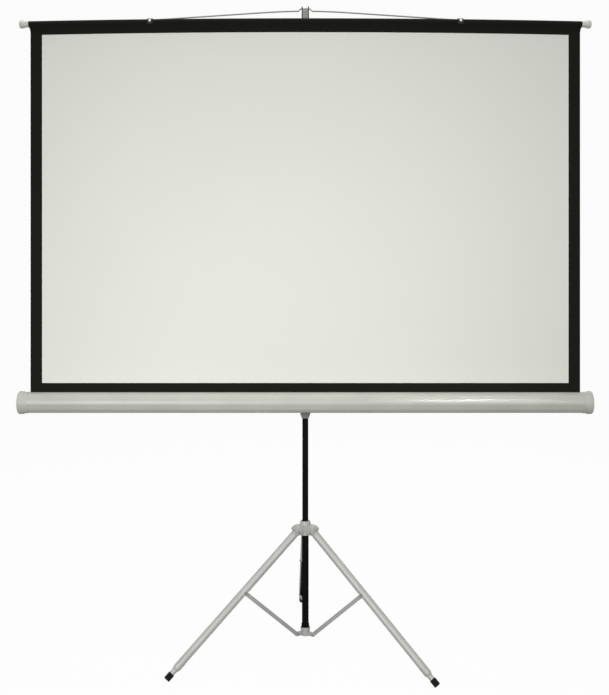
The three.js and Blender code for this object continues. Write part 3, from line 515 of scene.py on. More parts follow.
# Bail: round wire, flat from clamp to clamp, lifted in a small crank where the hook takes it.
bail = {"radius": 0.0025, "foot": 0.516, "bend": 0.498, "rounding": 0.14, "rise": 0.035, "end": 0.526,
        "apexY": columnY - 0.005, "crank": 0.008, "crankStart": 0.014, "crankEnd": 0.024, "stations": 420,
        "crowding": 0.75, "sides": 20}
bail["slope"] = bail["rise"] / (bail["bend"] - bail["rounding"] / 2)
bail["apexZ"] = bailPivot[2] + bail["rise"]
bail["crestZ"] = bail["apexZ"] + bail["crank"]


def bailPath(x):
    # the fall is a parabola out to the rounding, then straight to the bend, and Y follows it
    away = np.minimum(np.abs(x), bail["bend"])
    fall = np.where(away < bail["rounding"], bail["slope"] * away ** 2 / (2 * bail["rounding"]),
                    bail["slope"] * (away - bail["rounding"] / 2)) / bail["rise"]
    y = bail["apexY"] + (bailPivot[1] - bail["apexY"]) * fall
    # crank: a smooth step up over the hook's width
    step = np.clip((bail["crankEnd"] - np.abs(x)) / (bail["crankEnd"] - bail["crankStart"]), 0, 1)
    lift = bail["crank"] * step ** 2 * (3 - 2 * step)
    return np.stack([x, y, bail["apexZ"] - bail["rise"] * fall + lift], axis=1)


def makeBail():
    # stations crowd towards the middle, where the wire is cranked
    share = np.linspace(-1, 1, bail["stations"])
    x = bail["end"] * ((1 - bail["crowding"]) * share + bail["crowding"] * share ** 3)
    section = arc((0, 0), bail["radius"], 0, 360 - 360 / bail["sides"], bail["sides"])
    wire = carry(section, bailPath(x), yAxis, zAxis)
    addPiece("bail_wire_round", wire, wireSteel, "bail", ("bail_wire",))


makeBail()


# Clamps: a strap over the hem with an eye for the wire and a bright rivet, its dome as (radius, height).
clamp = {"width": 0.018, "wall": 0.0015, "clear": 0.0003, "wrap": 40, "rivetRise": 0.004,
         "dome": ((0.0042, -0.001), (0.0042, 0.0004), (0.00315, 0.0013), (0.0002, 0.0018))}


def makeClamp(side, name):
    width, wall, wrap = clamp["width"], clamp["wall"], clamp["wrap"]
    radius = slat["hemRadius"] + clamp["clear"]
    seat = radius + wall
    outer = arc((0, 0), seat, -wrap, 180 + wrap, steps=41)
    inner = arc((0, 0), radius, 180 + wrap, -wrap, steps=41)
    start = np.array([side * bail["foot"] - width / 2, sheetY, slatZ(bail["foot"])])
    strap = carry(np.concatenate([outer, inner]), np.stack([start, start + width * xAxis]), yAxis, zAxis)
    eyeBore = bail["radius"] + 2 * clamp["clear"]
    eyeRim = eyeBore + wall
    eyeStart = np.array([start[0], bailPivot[1], bailPivot[2]])
    eyeRows = [(eyeBore, 0), (eyeRim, 0), (eyeRim, width), (eyeBore, width)]
    eye = turn(eyeRows, eyeStart, xAxis, sides=24, loop=True)
    addPiece(name, [strap, eye], blackMould, "slat", (name,))
    # the rivet stands square to the strap, a little above its middle
    angle = math.asin(clamp["rivetRise"] / seat)
    outward = np.array([0, -math.cos(angle), math.sin(angle)])
    dome = turn(clamp["dome"], start + width / 2 * xAxis + seat * outward, outward, sides=24)
    addPiece("clamp_rivet_" + name.split("_")[-1], dome, clampSteel, "slat", ())


makeClamp(-1, "bail_clamp_left")
makeClamp(1, "bail_clamp_right")
print("slat, bail and clamps made")


# Case: a rolled sheet shell, open in a slot for the cloth, its front pressed to a line and a flat.
case = {"radius": 0.034, "wall": 0.001, "slotFront": 67.5, "slotRear": 51.9, "lineAngle": 142,
        "lineWidth": 3.2, "lineDepth": 0.0008, "flatStart": 185, "flatEnd": 211, "steps": 181,
        "stations": 9}


def makeCase():
    low, high = corners("case_shell")
    angle = np.linspace(case["slotFront"], case["slotRear"] + 360, case["steps"])
    angle = np.union1d(angle, [case["flatStart"], case["flatEnd"]])
    # pressed line: a narrow dip in the radius at one angle
    dip = np.exp(-((angle - case["lineAngle"]) / case["lineWidth"]) ** 2)
    radius = case["radius"] - case["lineDepth"] * dip
    # flat: between its two ends the outline is the chord, radius * cos(half) / cos(angle from the middle)
    middle, half = (case["flatStart"] + case["flatEnd"]) / 2, (case["flatEnd"] - case["flatStart"]) / 2
    off = np.clip(angle - middle, -half, half)
    chord = case["radius"] * math.cos(math.radians(half)) / np.cos(np.radians(off))
    radius = np.minimum(radius, chord)
    turned = np.radians(angle)
    spoke = np.stack([np.cos(turned), np.sin(turned)], axis=1)
    section = np.concatenate([radius[:, None] * spoke, ((radius - case["wall"])[:, None] * spoke)[::-1]])
    path = caseCentre * (0, 1, 1) + np.linspace(low[0], high[0], case["stations"])[:, None] * xAxis
    tube = carry(section, path, yAxis, zAxis)
    addPiece("case_shell_rolled", tube, caseLacquer, "case", ("case_shell",), sharp=15)


makeCase()


# End caps: turned about the case's length, flared to a rim, with a shallow ring in the end face.
cap = {"rim": 0.0375, "rimLength": 0.017, "end": 0.003, "socket": 0.0343, "bore": 0.033, "lip": 0.0006,
       "flare": 0.003, "boss": 0.008, "bossSunk": 0.0004, "ring": 0.022, "ringDepth": 0.0012, "slope": 0.001,
       "clear": 0.0003, "pole": 0.0004,
       "rounds": (0, 0.001, 0.001, 0.001, 0.001, 0.004, 0.003, 0.002, 0.0004, 0, 0, 0, 0, 0)}


def makeCap(side, name):
    innerX, outerX = sorted(abs(corner[0]) for corner in corners(name))
    rimX, floorX = outerX - cap["rimLength"], outerX - cap["end"]
    bossX, ringX = outerX - cap["bossSunk"], outerX - cap["ringDepth"]
    shellX = corners("case_shell")[1][0] + cap["clear"]
    rim, socket, bore, pole = cap["rim"], cap["socket"], cap["bore"], cap["pole"]
    boss, ring, slope, lip = cap["boss"], cap["ring"], cap["slope"], cap["socket"] + cap["lip"]
    profile = [(pole, bossX), (boss - slope, bossX), (boss + slope, ringX), (ring - slope, ringX),
               (ring + slope, outerX), (rim, outerX), (rim, rimX), (lip, rimX - cap["flare"]), (lip, innerX),
               (socket, innerX), (socket, shellX), (bore, shellX), (bore, floorX), (pole, floorX)]
    made = turn(profile, caseCentre * (0, 1, 1), side * xAxis, sides=72, rounds=cap["rounds"], steps=6)
    addPiece(name, made, capPaint, "case", (name,))


makeCap(-1, "case_cap_left")
makeCap(1, "case_cap_right")
print("case and caps made")


# Square tubes: a rounded square outside and in, carried up the column's axis.
tubes = {"wall": 0.0012, "columnCorner": 0.0012, "rodCorner": 0.0018, "leastCorner": 0.0004}


def makeSquareTube(name, node, corner, finish, body):
    low, high = corners(node)
    half = (high[0] - low[0]) / 2
    bore = half - tubes["wall"]
    outer = roundedBox(corner, half)
    inner = roundedBox(max(corner - tubes["wall"], tubes["leastCorner"]), bore)
    tube = columnWall([(outer, low[2]), (outer, high[2])], [(inner, low[2]), (inner, high[2])])
    addPiece(name, tube, finish, body, (node,))


makeSquareTube("column_square", "column_tube", tubes["columnCorner"], blackLacquer, "column")
makeSquareTube("rod_square", "rod_tube", tubes["rodCorner"], rodTubeFinish, "rod")


# Spacer sleeve: a thin square tube over the column with a thicker band at its foot.
sleeve = {"half": 0.0112, "band": 0.013, "bandHeight": 0.008, "corner": 0.0014, "soft": 0.0008,
          "bore": 0.0103, "boreCorner": 0.00098}


def makeSleeve():
    low, high = corners("spacer_sleeve")
    bottom, top, soft = low[2], low[2] + sleeve["bandHeight"], sleeve["soft"]
    body = roundedBox(sleeve["corner"], sleeve["half"])
    band = roundedBox(sleeve["corner"], sleeve["band"])
    bore = roundedBox(sleeve["boreCorner"], sleeve["bore"])
    outer = [(inset(band, soft), bottom), (band, bottom + soft), (band, top - soft), (inset(band, soft), top),
             (body, top + soft), (body, high[2])]
    wall = columnWall(outer, [(bore, bottom), (bore, high[2])])
    addPiece("spacer_sleeve_black", wall, blackLacquer, "column", ("spacer_sleeve",))


makeSleeve()


# Lock button: a domed pin in the collar at the column's top.
button = {"dome": 0.0012, "crown": 0.5, "pole": 0.0002, "rounds": (0, 0.0005, 0.0022, 0.002, 0)}


def makeButton():
    low, high = corners("lock_button")
    radius, length, pole = (high[0] - low[0]) / 2, high[1] - low[1], button["pole"]
    profile = [(pole, 0), (radius, 0), (radius, length - button["dome"]), (radius * button["crown"], length),
               (pole, length)]
    origin = np.array([0, low[1], (low[2] + high[2]) / 2])
    made = turn(profile, origin, yAxis, sides=32, rounds=button["rounds"])
    addPiece("lock_button_domed", made, greyMould, "button", ("lock_button",))


makeButton()
print("column, rod, sleeve and button made")


# Hook: a bracket on the rod's top, ribbed round its skirt, with two cheeks that notch the wire.
# The horn's outline is (across, down from its tip) in shares of the half width.
hook = {"half": 0.0125, "cheek": 0.004, "proud": 0.0008, "skirt": 0.018, "base": 0.0165, "corner": 0.003,
        "bore": 0.0088, "boreCorner": 0.0015, "closing": 0.9, "soft": 0.0012, "clear": 0.0003,
        "grooves": (0.0078, 0.0162, 0.0246), "grooveHalf": 0.0017, "grooveFloor": 0.7, "grooveDepth": 0.002,
        "lip": 1.5, "horn": 0.022, "hornOutline": ((1, 1), (0.8, 1 / 4), (0.4, 0), (0.1, 1 / 6)),
        "rounds": (0.001, 0.001, 0.004, 0.003, 0.0025, 0.002, 0.001, 0.001, 0.001, 0.001, 0.0015),
        "edge": 0.0009}


def makeHook():
    rodTop = corners("rod_tube")[1][2]
    half, soft, flat = hook["half"], hook["soft"], hook["grooveFloor"]
    low, top, floor = rodTop - hook["skirt"], rodTop + hook["base"], rodTop + hook["clear"]
    loop = roundedBox(hook["corner"], half - hook["proud"])
    bore = roundedBox(hook["boreCorner"], hook["bore"])
    # grooves: the outline steps in and out again at even heights
    outer = [(loop, low)]
    for rise in hook["grooves"]:
        outer += [(inset(loop, hook["grooveDepth"] * depth), low + rise + share * hook["grooveHalf"])
                  for share, depth in ((-1, 0), (-flat, 1), (flat, 1), (1, 0))]
    # the last outlines close most of the top, outside and in
    outer += [(loop, top - soft), (inset(loop, soft), top), (inset(loop, half * hook["closing"]), top)]
    inner = [(bore, low), (bore, floor), (inset(bore, hook["bore"] * hook["closing"]), floor)]
    wire, notchY = bail["radius"], bail["apexY"] - columnY
    notchZ = bail["crestZ"] - wire - hook["clear"]
    lip = notchZ + hook["lip"] * wire
    tip = bail["apexZ"] - wire - hook["clear"] + hook["horn"]
    horn = [(half * across, tip - half * down) for across, down in hook["hornOutline"]]
    notch = [(notchY + 2 * wire, lip), (notchY + wire, notchZ), (notchY - wire, notchZ),
             (notchY - 2 * wire, lip)]
    cheek = rounded([(-half, low), (half, low), *horn, *notch, (-half, lip)], hook["rounds"])
    plates = [plate(cheek, at, at + hook["cheek"], columnAxis, yAxis, zAxis, hook["edge"])
              for at in (-half, half - hook["cheek"])]
    addPiece("bail_hook_bracket", columnWall(outer, inner), hookSteel, "rod", ("bail_hook",))
    addPiece("bail_hook_cheeks", plates, cheekSteel, "rod", ("bail_hook",))


makeHook()


# Slider: a sleeve on the column, narrow at its foot, with the pivot boss in front and lever ears behind.
slider = {"halfX": 0.0185, "halfY": 0.0143, "corner": 0.004, "foot": 0.0119, "footCorner": 0.0024,
          "taper": 0.021, "bore": 0.0103, "boreCorner": 0.002, "soft": 0.0012, "footSoft": 0.0006,
          "sunk": 0.001, "boss": 0.020, "bossOut": 0.007, "bossBore": 0.0043, "flare": 0.0015,
          "flareHeight": 0.002, "bossRounds": (0, 0, 0.001, 0.001, 0), "ear": 0.003, "earRadius": 0.006,
          "earInner": 0.006, "earEdge": 0.0005}


def makeSlider():
    low, high = corners("slider_body")
    bottom, top, taper, soft = low[2], high[2], slider["taper"], slider["soft"]
    body = roundedBox(slider["corner"], slider["halfX"], slider["halfY"])
    foot = roundedBox(slider["footCorner"], slider["foot"])
    bore = roundedBox(slider["boreCorner"], slider["bore"])
    # taper: the foot's outline runs into the body's by even steps
    outer = [(inset(foot, slider["footSoft"]), bottom)]
    outer += [((1 - t) * foot + t * body, bottom + soft + t * (taper - soft)) for t in np.linspace(0, 1, 6)]
    outer += [(body, bottom + taper + soft), (body, top - soft), (inset(body, soft), top)]
    wall = columnWall(outer, [(bore, bottom), (bore, top)])
    # boss: turned about the case's pivot, its root sunk in the body's front
    root, out = slider["halfY"] - slider["sunk"], slider["bossOut"] + slider["sunk"]
    wide, bossBore = slider["boss"], slider["bossBore"]
    rows = [(bossBore, 0), (wide + slider["flare"], 0), (wide, slider["flareHeight"]), (wide, out),
            (bossBore, out)]
    boss = turn(rows, columnAxis + caseCentre[2] * zAxis - root * yAxis, -yAxis, sides=56,
                rounds=slider["bossRounds"], loop=True)
    pivot, earRadius = jointPoint("lever_squeeze"), slider["earRadius"]
    tip = arc((pivot[1] - columnY, pivot[2]), earRadius, -90, 90, steps=15)
    outline = np.concatenate([[(root, pivot[2] - earRadius)], tip, [(root, pivot[2] + earRadius)]])
    ears = [plate(outline, start, start + slider["ear"], columnAxis, yAxis, zAxis, slider["earEdge"])
            for start in (slider["earInner"], -slider["earInner"] - slider["ear"])]
    addPiece("slider_moulded", [wall, boss, *ears], greyMould, "slider", ("slider_body",))


makeSlider()


# Lever pin: a plain pin through the slider's ears.
leverPin = {"radius": 0.002, "pole": 0.0002, "rounds": (0, 0.0006, 0.0006, 0)}


def makeLeverPin():
    half, radius, pole = corners("lever_pin")[1][0], leverPin["radius"], leverPin["pole"]
    profile = [(pole, -half), (radius, -half), (radius, half), (pole, half)]
    pin = turn(profile, jointPoint("lever_squeeze"), xAxis, sides=20, rounds=leverPin["rounds"])
    addPiece("lever_pin_round", pin, rivetSteel, "slider", ("lever_pin",))


makeLeverPin()


# Lever: a squeeze grip that hangs behind the slider, its nose reaching the column through a window.
lever = {"halfWidth": 0.0057, "thick": 0.006, "back": 0.0048, "gripLength": 0.060, "gripOut": 0.011,
         "noseRise": 0.018, "noseHeight": 0.008, "columnGap": 0.0003, "edge": 0.0012,
         "rounds": (0.0008, 0.0025, 0.006, 0.003, 0.003, 0.006, 0.003, 0.003, 0.0008)}


def makeLever():
    pivot = jointPoint("lever_squeeze")
    y, z, thick, out = pivot[1] - columnY, pivot[2], lever["thick"], lever["gripOut"]
    noseLow = z + lever["noseRise"] - lever["noseHeight"] / 2
    noseHigh = noseLow + lever["noseHeight"]
    tip, foot = columnHalf + lever["columnGap"], z - lever["gripLength"]
    front, back = y - thick / 2, y + lever["back"]
    points = [(tip, noseLow), (front, noseLow), (front, z - thick), (front + out, foot),
              (front + thick + out, foot), (back, z - thick), (back, noseHigh - thick / 2),
              (y + thick / 4, noseHigh), (tip, noseHigh)]
    outline, half = rounded(points, lever["rounds"]), lever["halfWidth"]
    grip = plate(outline, -half, half, columnAxis, yAxis, zAxis, lever["edge"])
    addPiece("height_lever_grip", grip, blackMould, "lever", ("height_lever",))


makeLever()


# Saddle: a block behind the case whose front follows the case's round.
saddle = {"halfWidth": 0.035, "halfHeight": 0.023, "clear": 0.0003, "corner": 0.005, "edge": 0.0015}


def makeSaddle():
    rear = corners("case_saddle")[1][1] - caseCentre[1]
    radius = case["radius"] + saddle["clear"]
    sweep = math.degrees(math.asin(saddle["halfHeight"] / radius))
    front = arc((0, 0), radius, -sweep, sweep, steps=25)
    back = [front[-1], (rear, saddle["halfHeight"]), (rear, -saddle["halfHeight"]), front[0]]
    outline = np.concatenate([front, rounded(back, saddle["corner"], closed=False, steps=6)[1:-1]])
    half = saddle["halfWidth"]
    block = plate(outline, -half, half, caseCentre, yAxis, zAxis, saddle["edge"])
    addPiece("case_saddle_block", block, greyMould, "case", ("case_saddle",))


makeSaddle()
print("hook, slider, lever and saddle made")


# Tripod. Each sector takes its pivots from the folding joints: "out" points away from the column, "pin"
# lies along the pins, "down" along the leg, and "side" is +1 or -1, where on the pin the spreader lies.
hubJoints = {"left": "leg_fold", "right": "spreader_right_fold", "rear": "spreader_rear_fold"}
headPivotZ = jointPoint("head_level")[2]


def sectorFrame(name):
    hubPivot, legPivot = jointPoint(hubJoints[name]), jointPoint("leg_" + name + "_fold")
    headPivot = np.array([hubPivot[0], hubPivot[1], headPivotZ])
    outward = (hubPivot - columnAxis) * (1, 1, 0)
    outward /= np.linalg.norm(outward)
    pin = np.cross(zAxis, outward)
    link = np.linalg.norm(legPivot - headPivot)
    strip = sum(corners("spreader_" + name)) / 2
    return {"hub": hubPivot, "leg": legPivot, "head": headPivot, "out": outward, "pin": pin, "link": link,
            "down": (legPivot - headPivot) / link, "side": np.sign((strip - (hubPivot + legPivot) / 2) @ pin)}


sectors = {name: sectorFrame(name) for name in hubJoints}


# Rivets: a pin with a domed head at each end, the second a mirror of the first.
rivet = {"radius": 0.0025, "head": 0.0042, "height": 0.002, "crown": 0.6, "edge": 0.45, "pole": 0.0002,
         "rounds": (0, 0.001, 0.0008, 0, 0)}


def makeRivet(name, node, body, origin, axis, reach):
    head, height = rivet["head"], rivet["height"]
    rows = [(rivet["pole"], -height), (head * rivet["crown"], -height), (head, -height * rivet["edge"]),
            (head, 0), (rivet["radius"], 0)]
    profile = [(size, rise - reach) for size, rise in rows]
    profile += [(size, reach - rise) for size, rise in rows[::-1]]
    pin = turn(profile, origin, axis, sides=28, rounds=rivet["rounds"] + rivet["rounds"][::-1])
    addPiece(name, pin, rivetSteel, body, (node,))


# Legs: a round tube slotted on its inner side and drawn in to a neck, with a plug at its top and a foot.
leg = {"radius": 0.0125, "wall": 0.0012, "topGap": 0.016, "neck": 0.0085, "neckTaper": 0.012,
       "neckLength": 0.022, "slotHalf": 0.0095, "slotAbove": 0.013, "slotBelow": 0.0225, "clear": 0.0003,
       "sides": 48, "hair": 0.00001}


def makeLeg(name, place):
    footEnd = footReach(place)
    tubeEnd = footEnd - foot["length"] + foot["overlap"]
    inward = np.cross(place["pin"], place["down"])
    taperStart = tubeEnd - leg["neckLength"] - leg["neckTaper"]
    slotTop, slotEnd = place["link"] - leg["slotAbove"], 2 * place["link"] + leg["slotBelow"]
    # neck: the radius eases in by 3 t squared - 2 t cubed
    t = np.linspace(0, 1, 7)
    drawn = leg["radius"] + (leg["neck"] - leg["radius"]) * t ** 2 * (3 - 2 * t)
    # stations down the tube: (distance, radius, slot half width); the slot's ends are square
    wide, slot, hair = leg["radius"], leg["slotHalf"], leg["hair"]
    stations = [(leg["topGap"], wide, hair), (slotTop, wide, hair), (slotTop, wide, slot),
                (slotEnd, wide, slot), (slotEnd, wide, hair)]
    stations += [(taperStart + leg["neckTaper"] * share, size, hair) for share, size in zip(t, drawn)]
    stations += [(tubeEnd, leg["neck"], hair)]
    distance, radius, half = np.array(stations).T
    # each station is a C of outer arc and inner arc back, open by "opening" each side of the inward line
    opening = np.arcsin(half / radius)[:, None]
    angle = opening + (2 * np.pi - 2 * opening) * np.linspace(0, 1, leg["sides"])
    spoke = np.cos(angle)[..., None] * inward + np.sin(angle)[..., None] * place["pin"]
    axisPoint = (place["head"] + distance[:, None] * place["down"])[:, None]
    outer = axisPoint + radius[:, None, None] * spoke
    inner = axisPoint + (radius - leg["wall"])[:, None, None] * spoke
    tube = shell(np.concatenate([outer, inner[:, ::-1]], axis=1))
    # quads run round each station: outside first, then the inside, whose dark finish is painted shade
    around = np.arange(2 * leg["sides"])
    paintedShadeInside = (around >= leg["sides"]) & (around < 2 * leg["sides"] - 1)
    faceFinish = np.concatenate([np.tile(paintedShadeInside, len(stations) - 1), [0, 0]])
    addPiece("leg_tube_" + name + "_drawn", tube, [silverTube, tubeInsidePaintedShade], "leg_" + name,
             ("leg_tube_" + name,), faceFinish)
    makeLegPlug(name, place)
    makeFoot(name, place, footEnd, tubeEnd)
    makeRivet("leg_rivet_" + name, "leg_pin_" + name, "leg_" + name, place["leg"], place["pin"],
              leg["radius"] + leg["clear"])


# Plugs: an eye round the head's pin and a stem down into the tube.
plug = {"bore": 0.0028, "eyeRounds": (0, 0.0015, 0.0015, 0), "stemStart": 0.002, "stemEnd": 0.041,
        "stemRounds": (0, 0, 0.0008, 0, 0, 0), "pole": 0.0004}


def makeLegPlug(name, place):
    width, radius, bore, pole = leg["radius"], leg["radius"] - leg["clear"], plug["bore"], plug["pole"]
    rows = [(bore, -width), (radius, -width), (radius, width), (bore, width)]
    eye = turn(rows, place["head"], place["pin"], sides=40, rounds=plug["eyeRounds"], loop=True)
    start, end, shoulder = plug["stemStart"], plug["stemEnd"], leg["topGap"] - leg["clear"]
    inside = radius - leg["wall"]
    rows = [(pole, start), (radius, start), (radius, shoulder), (inside, shoulder), (inside, end),
            (pole, end)]
    stem = turn(rows, place["head"], place["down"], sides=40, rounds=plug["stemRounds"])
    addPiece("leg_plug_" + name + "_moulded", [eye, stem], plugMould, "leg_" + name, ("leg_plug_" + name,))


# Feet: rubber turned about the leg, with grooves round it; the toe is (in from the side, up from the end).
foot = {"radius": 0.0105, "length": 0.024, "cut": 0.003, "overlap": 0.011, "lip": 0.0006, "lipHeight": 0.0025,
        "grooves": (0.007, 0.011, 0.015), "grooveHalf": 0.001, "grooveDepth": 0.0007,
        "toe": ((0, 0.003), (0.0012, 0.0006), (0.004, 0)), "soft": 0.0006, "pole": 0.0004}


def footReach(place):
    # the foot ends where its lowest corner, radius * sin(lean) under its middle, passes the floor by the cut
    lean = math.acos(-place["down"][2])
    return (place["head"][2] - foot["radius"] * math.sin(lean) + foot["cut"]) / math.cos(lean)


def makeFoot(name, place, footEnd, tubeEnd):
    radius, bore, pole = foot["radius"], leg["neck"] + leg["clear"], foot["pole"]
    start, floor = footEnd - foot["length"], tubeEnd + leg["clear"]
    rows = [(bore, start), (radius - foot["lip"], start), (radius, start + foot["lipHeight"])]
    for groove in foot["grooves"]:
        at = start + groove
        rows += [(radius, at - foot["grooveHalf"]), (radius - foot["grooveDepth"], at),
                 (radius, at + foot["grooveHalf"])]
    rows += [(radius - inwards, footEnd - rise) for inwards, rise in foot["toe"]]
    rows += [(pole, footEnd), (pole, floor), (bore, floor)]
    rubber = turn(rows, place["head"], place["down"], sides=48, rounds=foot["soft"], steps=3, loop=True)
    # the floor flattens the lowest corner
    rubber["points"][:, 2] = np.maximum(rubber["points"][:, 2], 0.0)
    addPiece("leg_foot_" + name + "_rubber", rubber, footRubber, "leg_" + name, ("leg_foot_" + name,))


# Spreaders: flat strips with round ends, pinned beside the hub's ears.
spreader = {"width": 0.013, "thick": 0.003, "offset": 0.00015}


def makeSpreader(name, place):
    run = place["leg"] - place["hub"]
    length, half = np.linalg.norm(run), spreader["width"] / 2
    upwards = run / length
    outline = np.concatenate([arc((0, 0), half, 180, 360, steps=19),
                              arc((0, length), half, 0, 180, steps=19)])
    reach = spreader["offset"] + spreader["thick"]
    start, end = sorted((place["side"] * spreader["offset"], place["side"] * reach))
    strip = plate(outline, start, end, place["hub"], np.cross(upwards, place["pin"]), upwards)
    addPiece("spreader_" + name + "_strip", strip, spreaderStrip, "spreader_" + name, ("spreader_" + name,))
    makeRivet("hub_rivet_" + name, "hub_pin_" + name, "column", place["hub"], place["pin"],
              reach + leg["clear"])


# Head: a turned collar round the column with three lugs that hold the legs' plugs.
head = {"radius": 0.0185, "topRadius": 0.0162, "shoulder": 0.014, "bore": 0.0104, "slot": 0.0128,
        "cheek": 0.0035, "lug": 0.0095, "roof": 0.003, "lip": 0.005, "drop": 0.0135, "root": 0.012,
        "rootRise": 0.004, "hangStart": -100, "lipRound": 0.0015, "ridgeRound": 0.009, "soft": 0.0012,
        "edge": 0.0009, "fillingEdge": 0.0003}


def boreOutlines(sides=64):
    # a unit circle, and the square round it traced by the same number of points
    angle = np.linspace(0, 2 * np.pi, sides, endpoint=False)
    circle = np.stack([np.cos(angle), np.sin(angle)], axis=1)
    return circle, circle / np.abs(circle).max(axis=1, keepdims=True)


def makeHead():
    low, high = corners("tripod_head")
    bottom, crest, soft = low[2], high[2], head["soft"]
    radius, top, shoulder = head["radius"], head["topRadius"], head["shoulder"]
    circle, square = boreOutlines()
    outer = [(circle * (radius - soft), bottom), (circle * radius, bottom + soft),
             (circle * radius, crest - shoulder)]
    # shoulder: the radius draws in by the square of the height
    outer += [(circle * (radius + (top - radius) * t ** 2), crest - shoulder * (1 - t) - soft)
              for t in np.linspace(0, 1, 6)[1:]]
    outer += [(circle * (top - soft), crest)]
    bore = square * head["bore"]
    shells = [columnWall(outer, [(bore, bottom), (bore, crest)])]
    for place in sectors.values():
        shells += headLug(place)
    addPiece("tripod_head_pressed", shells, silverCast, "head", ("tripod_head",))
    for name, place in sectors.items():
        makeRivet("head_rivet_" + name, "head_pin_" + name, "head", place["head"], place["pin"],
                  head["slot"] + head["cheek"] + leg["clear"])


def headLug(place):
    # two cheeks under a roof that lies along the open leg, drawn in the plane of the outward line and Z
    along = np.array([place["down"] @ place["out"], place["down"][2]])
    away = np.array([-along[1], along[0]])
    pivot = np.array([(place["head"] - columnAxis) @ place["out"], headPivotZ])
    lug, slot, root, cheek = head["lug"], head["slot"], head["root"], head["cheek"]
    top = corners("tripod_head")[1][2] - head["drop"]
    ridge = pivot + (slot + head["roof"]) * away
    lip = ridge + head["lip"] * along
    ridge = ridge + along * (top - ridge[1]) / along[1]
    lean = math.degrees(math.atan2(away[1], away[0]))
    hangEnd = lean - math.degrees(math.asin(head["lip"] / lug))
    hang = arc(pivot, lug, head["hangStart"], hangEnd, steps=15)
    crest = rounded([hang[-1], lip, ridge, (root, top)], [0, head["lipRound"], head["ridgeRound"], 0],
                    closed=False)
    footRoot = (root, pivot[1] - head["rootRise"])
    outline = np.concatenate([[footRoot], hang, crest[1:]])
    # between the cheeks: the roof and the block behind the leg's room
    room = arc(pivot, slot, 180, lean, steps=15)
    filling = np.concatenate([[footRoot, (pivot[0] - slot, footRoot[1])], room,
                              [lip - head["roof"] * away], crest[1:]])
    plates = [plate(outline, start, start + cheek, columnAxis, place["out"], zAxis, head["edge"])
              for start in (slot, -slot - cheek)]
    span = slot + cheek / 4  # into each cheek by a quarter
    return plates + [plate(filling, -span, span, columnAxis, place["out"], zAxis, head["fillingEdge"])]


# Hub: a round cup under the column, its bore square, with an ear for each spreader.
hub = {"radius": 0.016, "waist": 0.0148, "ringHeight": 0.009, "bore": 0.0103, "floor": 0.003,
       "chamfer": 0.002, "soft": 0.0006, "ear": 0.003, "earRadius": 0.0075, "earRoot": 0.0140,
       "offset": 0.00015, "clear": 0.0003, "pole": 0.0004}


def makeHub():
    top = corners("base_hub")[1][2]
    columnFoot = corners("column_tube")[0][2] - hub["clear"]
    bottom, ring = columnFoot - hub["floor"], top - hub["ringHeight"]
    radius, waist, chamfer, soft = hub["radius"], hub["waist"], hub["chamfer"], hub["soft"]
    circle, square = boreOutlines()
    rows = [(hub["pole"], bottom), (waist - chamfer, bottom), (waist, bottom + chamfer), (waist, ring - soft),
            (radius - soft, ring), (radius, ring + soft), (radius, top - soft), (radius - soft, top)]
    outer = [(circle * size, place) for size, place in rows]
    bore = square * hub["bore"]
    shells = [columnWall(outer, [(square * hub["pole"], columnFoot), (bore, columnFoot), (bore, top)])]
    root, wide, near, far = hub["earRoot"], hub["earRadius"], hub["offset"], hub["offset"] + hub["ear"]
    for place in sectors.values():
        radial = np.linalg.norm((place["hub"] - columnAxis)[:2])
        outline = np.concatenate([[(root, -wide)], arc((radial, 0), wide, -90, 90, steps=21), [(root, wide)]])
        # the ear's normal runs against the pin, so the same sign puts it beside the spreader
        start, end = sorted((place["side"] * near, place["side"] * far))
        shells.append(plate(outline, start, end, columnAxis + place["hub"][2] * zAxis, place["out"], zAxis))
    addPiece("base_hub_cup", shells, silverCast, "column", ("base_hub",))


for name, place in sectors.items():
    makeLeg(name, place)
    makeSpreader(name, place)
makeHead()
makeHub()
print("tripod made")


# Nodes that stay as they are get a finish of their own.
kept = {"slat_tube": hiddenSteel, "pivot_washer": paleMould, "pivot_bolt": rivetSteel,
        "roller_tube": hiddenSteel, "fabric_roll": backingCloth, "spring_plug": paleMould,
        "idler_plug": paleMould, "spring_shaft": hiddenSteel, "idler_pin": hiddenSteel,
        "roller_spring": hiddenSteel, "rod_glide": blackMould, "column_collar": blackMould}
for name, finish in kept.items():
    nodes[name].data.materials.clear()
    nodes[name].data.materials.append(finish)
print("kept nodes finished:", len(kept))


# Stage: a pale floor that runs up behind in one curve, seen as white, and soft light.
stage = {"half": 9.0, "back": 4.5, "bend": 1.5, "front": -9.0, "height": 7.0, "white": 1.0, "share": 0.96,
         "worldShare": 0.98, "ambient": 0.22, "roughness": 0.9, "lighting": (0.15, 0.15, 0.145, 1),
         "seen": (0.85, 0.85, 0.85, 1)}


def seenDirectly(tree):
    # 1 for rays from the camera, from a gloss or through glass, 0 for the rays that light the object
    rays = tree.nodes.new("ShaderNodeLightPath").outputs
    seen = rays["Is Camera Ray"]
    for kind in ("Is Glossy Ray", "Is Transmission Ray"):
        larger = tree.nodes.new("ShaderNodeMath")
        larger.operation = "MAXIMUM"
        tree.links.new(seen, larger.inputs[0])
        tree.links.new(rays[kind], larger.inputs[1])
        seen = larger.outputs[0]
    return seen


